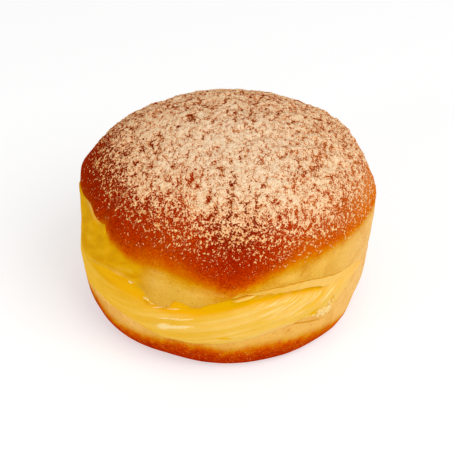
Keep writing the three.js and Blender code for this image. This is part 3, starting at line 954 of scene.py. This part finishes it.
smear_edge = ring_curve(SMEAR_BOTTOM, softness=1.5)
left_smear_top = ring_curve(LEFT_SMEAR_TOP, softness=0.8)
hollow_top = ring_curve(HOLLOW_TOP, softness=0.4)
hollow_bottom = ring_curve(HOLLOW_BOTTOM, softness=1.2)
STROKE_STEP = 0.5

stroke_turns = np.arange(-180, 180, STROKE_STEP)
slope_azimuths, slopes = np.array(STROKE_SLOPE).T
stroke_rise = np.cumsum(np.interp(stroke_turns, slope_azimuths, slopes)) * STROKE_STEP * MM


def across_strokes(azimuth, height):
    """Place across the spatula's strokes, the same all along one stroke."""
    return height - np.interp(azimuth, stroke_turns, stroke_rise)


def smear_bottom(azimuth):
    """Lower edge of the custard: always below the cut's lower lip, so that no groove is left there."""
    return np.minimum(smear_edge(azimuth), lower_edge(azimuth) - BELOW_LIP)


def smear_top(azimuth):
    """Upper edge of the custard: on the crust at the left, then at the lip, then past the slit."""
    right = smoothstep(azimuth, *SLIT_FROM)
    lip = blend(upper_edge(azimuth) + ABOVE_LIP, slit_line(azimuth) + PAST_SLIT, right)
    return blend(left_smear_top(azimuth), lip, smoothstep(azimuth, *CRUST_UP_TO))


def custard_front(azimuth, height):
    """How far the custard stands out from the plain skin, and how much of it lies in the hollow under the
    lip, whose shade is painted deep yellow.
    """
    place = np.stack([azimuth / WAVY_EDGE["long"], height / WAVY_EDGE["high"], 0 * azimuth], axis=1)
    wander = rough_noise(place, [(1.0, WAVY_EDGE["by"], WAVY_EDGE["seed"])])
    inside = np.minimum(height - smear_bottom(azimuth), smear_top(azimuth) - height)
    inside = inside + wander * window(azimuth, *WAVY_EDGE["azimuths"])
    over_dough = np.maximum(window(azimuth, *OVER_DOUGH_LEFT), smoothstep(azimuth, *OVER_DOUGH_RIGHT))
    over_dough = over_dough * smoothstep(height, *OVER_DOUGH_ABOVE)
    soft = 1 - SHARPER_RIGHT["by"] * smoothstep(azimuth, *SHARPER_RIGHT["from"])
    soft = soft + SOFTER_OVER_DOUGH * over_dough
    soft_bottom = bell(azimuth - SOFT_BOTTOM["azimuth"], SOFT_BOTTOM["spread"])
    soft = soft + soft_bottom * (1 - smoothstep(height, *SOFT_BOTTOM["below"]))
    spread = smoothstep(inside, EDGE_RUN_OUT[0], EDGE_RUN_OUT[1] * soft)
    low, mid, top = lower_edge(azimuth), hollow_bottom(azimuth), hollow_top(azimuth)
    in_body = np.clip((height - low) / (mid - low), 0, 1)
    flush = smoothstep(-azimuth, *FLUSH_LEFT)
    bulge = CUSTARD_BULGE * np.sin(np.pi * in_body**BULGE_FULLNESS) * (1 - FLUSH_LOSS["bulge"] * flush)
    tongue = spots(TONGUES, azimuth, height, across_strokes)
    drawn = 1 + DRAWN_OUT["by"] * smoothstep(-azimuth, *DRAWN_OUT["from"])
    blurred = 1 + BLURRED["by"] * smoothstep(-azimuth, *BLURRED["from"])
    under_top = smoothstep(top - height, *(edge * blurred for edge in HOLLOW_TOP_BLEND))
    over_mid = smoothstep(height - mid, *(edge * drawn for edge in HOLLOW_BOTTOM_BLEND))
    hollow = under_top * over_mid * (1 - smoothstep(tongue, *TONGUE_FORM))
    hollow = hollow * window(azimuth, *HOLLOW_SPAN)
    strong = smoothstep(azimuth, *DEEPER_RIGHT) * smoothstep(height, *DEEPER_ABOVE)
    furrow = 0
    for wide, long, deep, deeper, row, seed in FURROWS:
        along = [across_strokes(azimuth, height) / wide, azimuth / long, 0 * azimuth + row]
        furrow = furrow + rough_noise(np.stack(along, axis=1), [(1.0, deep + deeper * strong, seed)])
    furrow = furrow * smoothstep(height - low, *FURROWS_FROM) * (1 - FLUSH_LOSS["furrow"] * flush)
    furrow = furrow * (1 - SMOOTHER_HOLLOW * hollow)
    below_cut = 1 - smoothstep(height - low, *BELOW_CUT)
    thin = np.maximum(THINNER["over_dough"] * over_dough, THINNER["below_cut"] * below_cut)
    hidden = SMEAR_HIDDEN * (1 - THINNER["rim"] * np.maximum(over_dough, below_cut))
    proud = bulge + furrow - HOLLOW_DEPTH * hollow / drawn + TONGUE_RISE * tongue
    return blend(-hidden, SMEAR_THICKNESS * (1 - thin), spread) + spread * proud, hollow


def custard_rings():
    """Rings of the custard, out along its underside, up its front and back along its top."""
    front = np.arange(FRONT_SPAN[0], FRONT_SPAN[1], FRONT_STEP)
    back = np.arange(FRONT_SPAN[1], FRONT_SPAN[0] + 360, BACK_STEP)
    around = turn_to(np.concatenate([front, back]), 0)
    start, end = FRONT_SPAN
    shown = window(around, (start, start + FRONT_FADE), (end - FRONT_FADE, end))
    radius = cut_reach(around)[1] - CUSTARD_RECESS
    reaches = [radius * share for share in INSIDE_SHARES]
    under = [placed(around, reach, cut_faces(around, reach)[0] - CUSTARD_PRESS) for reach in reaches]
    over = [placed(around, reach, cut_faces(around, reach)[1] + CUSTARD_PRESS) for reach in reaches]
    low, high = cut_faces(around, radius)
    rows = []
    for share in np.linspace(0, 1, CUSTARD_ROWS):
        showing = blend(smear_bottom(around) - ROWS_BELOW, smear_top(around) + ROWS_ABOVE, share)
        height = blend(blend(low, high, share), showing, shown)
        plain = skin_radius(around, height)
        relief = skin_relief(around, plain, height, pale=1)
        relief = relief + CRUST_RISE * smoothstep(height - crust_edge(around), *EDGE_BLEND)
        proud = custard_front(around, height)[0]
        buried = radius + POCKET_NOSE * math.sin(math.pi * share)
        rows.append(placed(around, blend(buried, plain + relief + proud, shown), height))
    lowest = placed(0, 0, POCKET_MIDDLE["bottom"] - CUSTARD_PRESS)[None]
    highest = placed(0, 0, POCKET_MIDDLE["top"] + CUSTARD_PRESS)[None]
    return [lowest, *under, *rows, *reversed(over), highest]


# The parts of the custard that have colours of their own: the thin curtain on the left, from its
# lower edge up, the dull strip on the right, the skin past the slit and the bare base; and a painted
# highlight just under the top edge of the thin custard on the left
CURTAIN = {"low": 26 * MM, "high": 30.5 * MM, "climbs": (-70, -48), "until": (-34, -30)}
CURTAIN_BLEND = (-2.5 * MM, 1.5 * MM)
STRIP_FROM = (2, 10)
ALL_STRIP_FROM = (42, 54)
STRIP_BLEND = (-0.2 * MM, 0.4 * MM)
PAST_SLIT_FROM = (2, 8)
PAST_SLIT_BLEND = (-0.1 * MM, 0.3 * MM)
BARE_BASE = ((6, 14), (30, 34))
BARE_BASE_BLEND = (-0.3 * MM, 0.3 * MM)
RIM_HIGHLIGHT_LINE = {"azimuth": -66, "spread": 6, "below": 0.9 * MM, "width": 0.4 * MM}
FAN_SPAN = ((6, 18), (42, 50))
LEFT_TO_RIGHT = (-70, 60)
POOL_DEPTH = 1.4

custard = closed_surface("custard_filling", custard_rings())
custard.data.shade_smooth()
azimuth, _, height = round_the_axis(read_points(custard.data))
store_skin(custard.data, azimuth, height, height - crust_edge(azimuth))
hollow = custard_front(azimuth, height)[1]
pools = POOL_DEPTH * spots(YELLOW_POOLS, azimuth, height)
curtain_edge = blend(CURTAIN["low"], CURTAIN["high"], smoothstep(azimuth, *CURTAIN["climbs"]))
curtain = smoothstep(height - curtain_edge, *CURTAIN_BLEND) * (1 - smoothstep(azimuth, *CURTAIN["until"]))
strip = smoothstep(height - hollow_top(azimuth), *STRIP_BLEND) * smoothstep(azimuth, *STRIP_FROM)
past_slit = smoothstep(height - slit_line(azimuth), *PAST_SLIT_BLEND)
bare_base = smoothstep(smear_edge(azimuth) - height, *BARE_BASE_BLEND)
rim = bell(left_smear_top(azimuth) - height - RIM_HIGHLIGHT_LINE["below"], RIM_HIGHLIGHT_LINE["width"])
store(
    custard.data,
    strip=np.maximum(strip, smoothstep(azimuth, *ALL_STRIP_FROM)),
    cap=past_slit * smoothstep(azimuth, *PAST_SLIT_FROM),
    curtain=curtain,
    base=bare_base * window(azimuth, *BARE_BASE),
    rim=rim * bell(azimuth - RIM_HIGHLIGHT_LINE["azimuth"], RIM_HIGHLIGHT_LINE["spread"]),
    deep=np.clip(np.maximum(hollow, pools), 0, 1),
    wet=spots(GLINTS, azimuth, height, across_strokes),
    across=across_strokes(azimuth, height),
    along=arc_length(azimuth),
    right=smoothstep(azimuth, *LEFT_TO_RIGHT),
    fan=window(azimuth, *FAN_SPAN) * smoothstep(height, *DEEPER_ABOVE),
    patch=spots(PALE_PATCHES_AND_SOFT_GLINTS, azimuth, height, across_strokes),
)

# Colours of the custard, on the left and on the right: its darker and its paler streaks
CREAM_LEFT = (seen(232, 171, 16), seen(242, 189, 64))
CREAM_RIGHT = (seen(231, 180, 54), seen(238, 196, 104))
HOLLOW_SHADE_LEFT_RIGHT = (seen(241, 177, 8), seen(230, 172, 0))
STRIP_LEFT_RIGHT = (seen(228, 176, 72), seen(237, 188, 98))
FURROW_DARK = seen(235, 180, 56)
FURROW_RIDGE_GLINT = seen(246, 213, 148)
BASE_SMEAR = seen(238, 188, 100)
PALE_PATCH_AND_GLINT = seen(238, 182, 84)
RIM_HIGHLIGHT = seen(240, 180, 96)
GLINT = seen(248, 217, 146)
# Sizes of the patterns in the custard's colour, and how the spatula drew its streaks out
CREAM_SIZES = {
    "streak": 1.9 * MM,
    "fine_streak": 0.8 * MM,
    "furrow": 0.45 * MM,
    "patch": 8 * MM,
    "grain": 0.9 * MM,
}
STREAK_STRETCH = (0.05, 1, 1)
FINE_STREAK_STRETCH = (0.06, 1, 1)

creamy, surface, start = new_finish("egg_custard")
place = start.node("ShaderNodeTexCoord", output=3)
flow = start.node("ShaderNodeCombineXYZ", None, {0: start.attribute("along"), 1: start.attribute("across")})
streaks = start.lumps(flow, CREAM_SIZES["streak"], 2.0, STREAK_STRETCH)
fine_streaks = start.lumps(flow, CREAM_SIZES["fine_streak"], 2.0, FINE_STREAK_STRETCH)
patches = start.lumps(place, CREAM_SIZES["patch"], 2.0)
grainy = start.lumps(place, CREAM_SIZES["grain"], 2.0)
pale_share = streaks.between(0.40, 0.62) * 0.55 + patches.between(0.35, 0.65) * 0.25 + grainy * 0.2
right = start.attribute("right")
cream = right.between(0.02, 0.6).colour(pale_share.colour(*CREAM_LEFT), pale_share.colour(*CREAM_RIGHT))
furrows = start.lumps(flow, CREAM_SIZES["furrow"], 1.0, STREAK_STRETCH)
fan = start.attribute("fan")
cream = (fan * (1 - furrows.between(0.38, 0.46)) * 0.8).colour(cream, FURROW_DARK)
# Painted highlights: thin pale lines along the ridges of the spatula's furrows
cream = (fan * furrows.between(0.53, 0.61) * 0.7).colour(cream, FURROW_RIDGE_GLINT)
cream = start.attribute("curtain").colour(cream, thin_custard(start, place))
# Painted shade: deep yellow in the hollow under the upper lip. The yellow pools are the custard's own
# deeper colour
deep = start.attribute("deep") + (fine_streaks - 0.5) * 0.25
cream = deep.between(0.05, 0.85).colour(cream, right.between(0.35, 0.55).colour(*HOLLOW_SHADE_LEFT_RIGHT))
strip = start.attribute("strip") * (0.85 + (grainy - 0.5) * 1.6)
cream = strip.colour(cream, right.between(0.75, 0.95).colour(*STRIP_LEFT_RIGHT))
skin, lines = skin_colour(start, place)[::3]
cream = start.attribute("cap").colour(cream, skin)
cream = start.attribute("base").colour(cream, BASE_SMEAR)
# Pale patches of the custard, some of them painted soft highlights
cream = (start.attribute("patch") * 0.6).colour(cream, PALE_PATCH_AND_GLINT)
# Painted shade: the slit's dark line, where it runs over the custard
cream = (lines * right.between(0.5, 0.6) * 0.9).colour(cream, CREASE_AND_SLIT_SHADE)
# Painted highlight: a pale line just under the top edge of the thin custard on the left
cream = (start.attribute("rim") * 0.7).colour(cream, RIM_HIGHLIGHT)
# Painted highlights: glint colour on the shining streaks, which also get a real glossy coat
gloss = (start.attribute("wet") + (grainy - 0.5) * 0.5).between(0.30, 0.68)
cream = (gloss * 0.85).colour(cream, GLINT)
height_map = streaks * 0.3 + fine_streaks * 0.25
bumped = start.node("ShaderNodeBump", None, {"Height": height_map, "Distance": 0.3 * MM, "Strength": 0.6})
start.feed(surface, {
    "Base Color": cream,
    "Roughness": 0.36 + fine_streaks.between(0.4, 0.7) * 0.14,
    "Normal": bumped,
    "Coat Weight": gloss * 0.3 + 0.02,
    "Coat Roughness": 0.25,
    "Specular IOR Level": 0.0,
    "Subsurface Weight": 0.25,
    "Subsurface Radius": (1.0, 0.6, 0.15),
    "Subsurface Scale": 1.6 * MM,
})
custard.data.materials.append(creamy)
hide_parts("custard")
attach(custard, "root")

# Torn crumbs: small shreds of pale dough that the knife left at the right end of the cut. One piece
# of instanced, dented balls, pressed into the custard and the skin.

# Azimuth, height and size of each crumb, in degrees and mm
CRUMBS = [
    (36.2, 17.4, 0.8), (38.6, 16.6, 1.7), (39.9, 17.3, 2.2), (41.2, 16.4, 2.3), (42.2, 17.2, 2.2),
    (43.4, 16.5, 2.0), (44.4, 17.2, 1.7), (41.2, 18.5, 1.0), (44.2, 19.3, 1.0), (46.2, 19.4, 1.0),
    (34.6, 18.3, 0.6), (47.4, 20.0, 0.6), (45.4, 17.9, 1.1), (37.6, 18.5, 0.6),
]
CRUMB_FLATNESS = 0.34
CRUMB_LENGTHS = (0.6, 1.5)
CRUMB_DENTS = 0.22
CRUMB_DENT_SIZE = 0.45 * MM
CRUMB_DENT_RISE = 2 * MM
CRUMB_PROUD = 0.12 * MM
CRUMB_SEED = 8
CRUMB_TONES = (seen(240, 192, 104), seen(247, 212, 146))
CRUMB_TONE_SIZE = 0.5 * MM


def new_tree(name, inputs, output):
    """The start of a geometry node tree with named inputs, and each of its inputs."""
    tree = bpy.data.node_groups.new(name, "GeometryNodeTree")
    for label, kind in inputs.items():
        tree.interface.new_socket(name=label, in_out="INPUT", socket_type="NodeSocket" + kind)
    tree.interface.new_socket(name=output, in_out="OUTPUT", socket_type="NodeSocketGeometry")
    start = Shade(tree)
    sockets = start.node("NodeGroupInput").socket.node.outputs
    return start, [Shade(tree, socket) for socket in sockets[:len(inputs)]]


def grow(made, tree, values):
    """Puts a geometry node tree on an object, each named input set by its identifier."""
    modifier = made.modifiers.new(tree.name, "NODES")
    modifier.node_group = tree
    for item in tree.interface.items_tree:
        if item.name in values:
            modifier[item.identifier] = values[item.name]


def crumb_tree():
    """Geometry nodes that put a dented ball of the stored size on every point of a mesh."""
    inputs = {"Spots": "Geometry", "Dents": "Float", "Seed": "Int", "Finish": "Material"}
    start, (spots_in, dents, seed, finish) = new_tree("torn_crumbs", inputs, "Crumbs")
    ball = start.node("GeometryNodeMeshIcoSphere", None, {"Radius": 0.5, "Subdivisions": 3})
    named = "GeometryNodeInputNamedAttribute"
    size = start.node(named, {"data_type": "FLOAT"}, {"Name": "size"})
    facing = start.node(named, {"data_type": "FLOAT_VECTOR"}, {"Name": "facing"})
    aligned = start.node("FunctionNodeAlignRotationToVector", {"axis": "Z"}, {"Vector": facing})
    lengths = {2: CRUMB_LENGTHS[0], 3: CRUMB_LENGTHS[1], "Seed": seed}
    longer = start.node("FunctionNodeRandomValue", {"data_type": "FLOAT"}, lengths, 1)
    form = start.node("ShaderNodeCombineXYZ", None, {0: size * longer, 1: size, 2: size * CRUMB_FLATNESS})
    balls = {"Points": spots_in, "Instance": ball, "Rotation": aligned, "Scale": form}
    strewn = start.node("GeometryNodeInstanceOnPoints", None, balls)
    loose = start.node("GeometryNodeRealizeInstances", None, {"Geometry": strewn})
    place = start.node("GeometryNodeInputPosition")
    dented = (start.lumps(place, CRUMB_DENT_SIZE, 1.0) - 0.5) * dents * CRUMB_DENT_RISE
    normal = start.node("GeometryNodeInputNormal")
    offset = start.node("ShaderNodeVectorMath", {"operation": "SCALE"}, {0: normal, "Scale": dented})
    shaped = start.node("GeometryNodeSetPosition", None, {"Geometry": loose, "Offset": offset})
    finished = start.node("GeometryNodeSetMaterial", None, {"Geometry": shaped, "Material": finish})
    start.node("NodeGroupOutput", None, {0: finished})
    return start.tree


crumb_azimuth, crumb_height, crumb_size = np.array(CRUMBS).T * np.array([[1], [MM], [MM]])
crumb_radius = skin_radius(crumb_azimuth, crumb_height)
crumb_skin = placed(crumb_azimuth, crumb_radius, crumb_height)
outward = placed(crumb_azimuth, crumb_radius + 1, crumb_height) - crumb_skin
crumb_points = placed(crumb_azimuth, crumb_radius + CRUMB_PROUD, crumb_height)
crumbs_mesh = bpy.data.meshes.new("torn_crumbs")
crumbs_mesh.from_pydata(crumb_points.tolist(), [], [])
store(crumbs_mesh, size=crumb_size)
facing = crumbs_mesh.attributes.new("facing", "FLOAT_VECTOR", "POINT")
facing.data.foreach_set("vector", outward.ravel())
crumbs = new_object("torn_crumbs", crumbs_mesh)

crumby, surface, start = new_finish("torn_dough")
place = start.node("ShaderNodeTexCoord", output=3)
torn_tone = start.lumps(place, CRUMB_TONE_SIZE, 2.0).between(0.35, 0.65)
start.feed(surface, {
    "Base Color": torn_tone.colour(*CRUMB_TONES),
    "Roughness": 0.8,
    "Specular IOR Level": 0.05,
    "Subsurface Weight": 0.2,
    "Subsurface Radius": (1.0, 0.6, 0.3),
    "Subsurface Scale": 0.8 * MM,
})

grow(crumbs, crumb_tree(), {"Dents": CRUMB_DENTS, "Seed": CRUMB_SEED, "Finish": crumby})
finished_mesh(crumbs, "torn_crumbs").shade_smooth()
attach(crumbs, "root")

# Icing sugar: fine sugar sifted over the dome. It lies as a layer of powder that breaks up into
# flakes and grains and thins out down the sides.

# How thick the powder is for each count of sugar, how deep it is set in, and where it ends
POWDER_THICKNESS = 0.13 * MM
POWDER_SUNK = 0.35 * MM
POWDER_MOST = 4.5
POWDER_EDGE = -0.25
# The pieces of it, and how much sugar there is on the parts of the dome that they lie on
SUGAR_PIECES = {"icing_sugar_layer": (0.9, 9.0), "icing_sugar_flakes": (-4.6, 0.9)}
# The crust that shines through it, where it is thick and at its fringe, and tints of the fringe
CRUST_THROUGH_SUGAR = (seen(190, 104, 54), seen(208, 106, 36))
FRINGE_TINT = seen(255, 249, 232)
SPARSE_TINT = seen(255, 250, 206)
POWDER_SIZES = {"tone": 0.38 * MM, "pit": 0.40 * MM, "fine_grain": 0.3 * MM}


def powder_tree():
    """Geometry nodes that lift a fine copy of a surface where sugar lies, and drop the bare rest."""
    inputs = {
        "Surface": "Geometry",
        "Finer": "Int",
        "Thickness": "Float",
        "Most": "Float",
        "Edge": "Float",
        "Finish": "Material",
    }
    start, (surface, finer, thickness, most, edge, finish) = new_tree("powder_layer", inputs, "Powder")
    fine = start.node("GeometryNodeSubdivideMesh", None, {"Mesh": surface, "Level": finer})
    sugared = start.node("GeometryNodeInputNamedAttribute", {"data_type": "FLOAT"}, {"Name": "sugared"})
    mask = sugar_mask(start, start.node("GeometryNodeInputPosition"), sugared)
    kept = start.node("GeometryNodeCaptureAttribute", None, {"Geometry": fine})
    capture = kept.socket.node
    capture.capture_items.new("FLOAT", "Sugar")
    start.feed(capture, {"Sugar": mask})
    amount = Shade(start.tree, capture.outputs["Sugar"])
    below = {"data_type": "FLOAT", "operation": "LESS_THAN"}
    bare = start.node("FunctionNodeCompare", below, {0: amount, 1: edge})
    dropped = {"Geometry": kept, "Selection": bare}
    islands = start.node("GeometryNodeDeleteGeometry", {"domain": "FACE"}, dropped)
    lift = amount.math("MINIMUM", amount, most) * thickness
    normal = start.node("GeometryNodeInputNormal")
    offset = start.node("ShaderNodeVectorMath", {"operation": "SCALE"}, {0: normal, "Scale": lift})
    lifted = start.node("GeometryNodeSetPosition", None, {"Geometry": islands, "Offset": offset})
    loose = start.node("GeometryNodeRealizeInstances", None, {"Geometry": lifted})
    finished = start.node("GeometryNodeSetMaterial", None, {"Geometry": loose, "Material": finish})
    start.node("NodeGroupOutput", None, {0: finished})
    return start.tree


sugary, surface, start = new_finish("icing_sugar")
place = start.node("ShaderNodeTexCoord", output=3)
amount = sugar_mask(start, place, start.attribute("sugared"))
tone = start.lumps(place, POWDER_SIZES["tone"], 2.0).between(0.36, 0.64) * 0.55
tone = tone + amount.between(0.2, 2.6) * 0.45
powdered = tone.colour(SUGAR_SHADE, SUGAR_LIGHT)
pits = 1 - start.lumps(place, POWDER_SIZES["pit"], 1.0).between(0.33, 0.43)
pits = pits * (1 - amount.between(1.4, 3.4) * 0.6)
thin = pits.math("MAXIMUM", pits * 0.8, 1 - amount.between(-0.3, 0.6))
fringe = 1 - start.attribute("sugared").between(0.3, 2.2)
sparse = 1 - start.attribute("sugared").between(-1.5, 0.4)
powdered = thin.colour(powdered, fringe.colour(*CRUST_THROUGH_SUGAR))
powdered = (fringe * 0.6).colour(powdered, powdered.tinted(FRINGE_TINT))
powdered = (sparse * 0.8).colour(powdered, powdered.tinted(SPARSE_TINT))
fine_grain = start.lumps(place, POWDER_SIZES["fine_grain"], 2.0)
bumped = start.node("ShaderNodeBump", None, {"Height": fine_grain, "Distance": 0.15 * MM, "Strength": 0.8})
start.feed(surface, {
    "Base Color": powdered,
    "Roughness": 0.85 + tone * 0.1,
    "Normal": bumped,
    "Specular IOR Level": 0.05,
})


def sugared_part(name, least, most):
    """Object of the part of the dough's skin where the sugar is between the least and the most."""
    part = bmesh.new()
    part.from_mesh(dough_mesh)
    layer = part.verts.layers.float["sugared"]
    amounts = [(face, sum(vert[layer] for vert in face.verts) / len(face.verts)) for face in part.faces]
    others = [face for face, amount in amounts if not least <= amount < most]
    bmesh.ops.delete(part, geom=others, context="FACES")
    mesh = bpy.data.meshes.new(name)
    part.to_mesh(mesh)
    part.free()
    return new_object(name, mesh)


lifting = powder_tree()
for name, (least, most) in SUGAR_PIECES.items():
    powder = sugared_part(name, least, most)
    grow(powder, lifting, {
        "Finer": 1,
        "Thickness": POWDER_THICKNESS,
        "Most": POWDER_MOST,
        "Edge": POWDER_EDGE,
        "Finish": sugary,
    })
    thick = powder.modifiers.new("thick", "SOLIDIFY")
    thick.thickness = POWDER_SUNK
    thick.offset = -1
    finished_mesh(powder, name)
    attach(powder, "root")

# The studio: a pale floor, soft light from all sides, a key light from the upper right and a soft
# strip from the left, and the camera in front, looking down on the cut.

FLOOR_HALF = 2.0
FLOOR_GREY = (0.55, 0.55, 0.55, 1)
FLOOR_GLOW = 0.52
WHITE = (1, 1, 1, 1)
SKY_STRENGTH = 0.5
floor_mesh = bpy.data.meshes.new("floor")
corners = [(x * FLOOR_HALF, y * FLOOR_HALF, 0) for x, y in ((-1, -1), (1, -1), (1, 1), (-1, 1))]
floor_mesh.from_pydata(corners, [], [(0, 1, 2, 3)])
floor = new_object("floor", floor_mesh)
pale_floor, surface, start = new_finish("pale_floor")
start.feed(surface, {
    "Base Color": FLOOR_GREY,
    "Roughness": 0.8,
    "Specular IOR Level": 0.0,
    "Emission Color": WHITE,
    "Emission Strength": FLOOR_GLOW,
})
floor_mesh.materials.append(pale_floor)

BUN_MIDDLE = Vector((0, 0, 30 * MM))


def softbox(name, place, size, power):
    light = bpy.data.lights.new(name, "AREA")
    light.shape = "SQUARE"
    light.size = size
    light.energy = power
    made = new_object(name, light)
    made.location = place
    made.rotation_euler = (BUN_MIDDLE - Vector(place)).to_track_quat("-Z", "Y").to_euler()


softbox("key_light", (0.45, -0.45, 0.75), size=0.7, power=5.7)
softbox("left_strip", (-0.55, -0.45, 0.30), size=0.18, power=0.9)
world = bpy.data.worlds.new("studio")
world.use_nodes = True
background = world.node_tree.nodes["Background"].inputs
background["Color"].default_value = WHITE
background["Strength"].default_value = SKY_STRENGTH
bpy.context.scene.world = world
bpy.context.scene.view_settings.view_transform = "Standard"

CAMERA_TARGET = Vector((0.07 * MM, 0.9 * MM, 30 * MM))
CAMERA_DISTANCE = 0.5
CAMERA_ELEVATION = math.radians(35)
CAMERA_PITCH = math.radians(35.5255)
IMAGE_WIDTH = 453
FOCAL_PIXELS = 1515.5
camera = new_object("camera", bpy.data.cameras.new("camera"))
camera.data.sensor_width = 36
camera.data.lens = FOCAL_PIXELS * camera.data.sensor_width / IMAGE_WIDTH
camera.data.clip_start = 0.01
from_target = Vector((0, -math.cos(CAMERA_ELEVATION), math.sin(CAMERA_ELEVATION)))
camera.location = CAMERA_TARGET + CAMERA_DISTANCE * from_target
camera.rotation_euler = (math.pi / 2 - CAMERA_PITCH, 0, 0)
bpy.context.scene.camera = camera
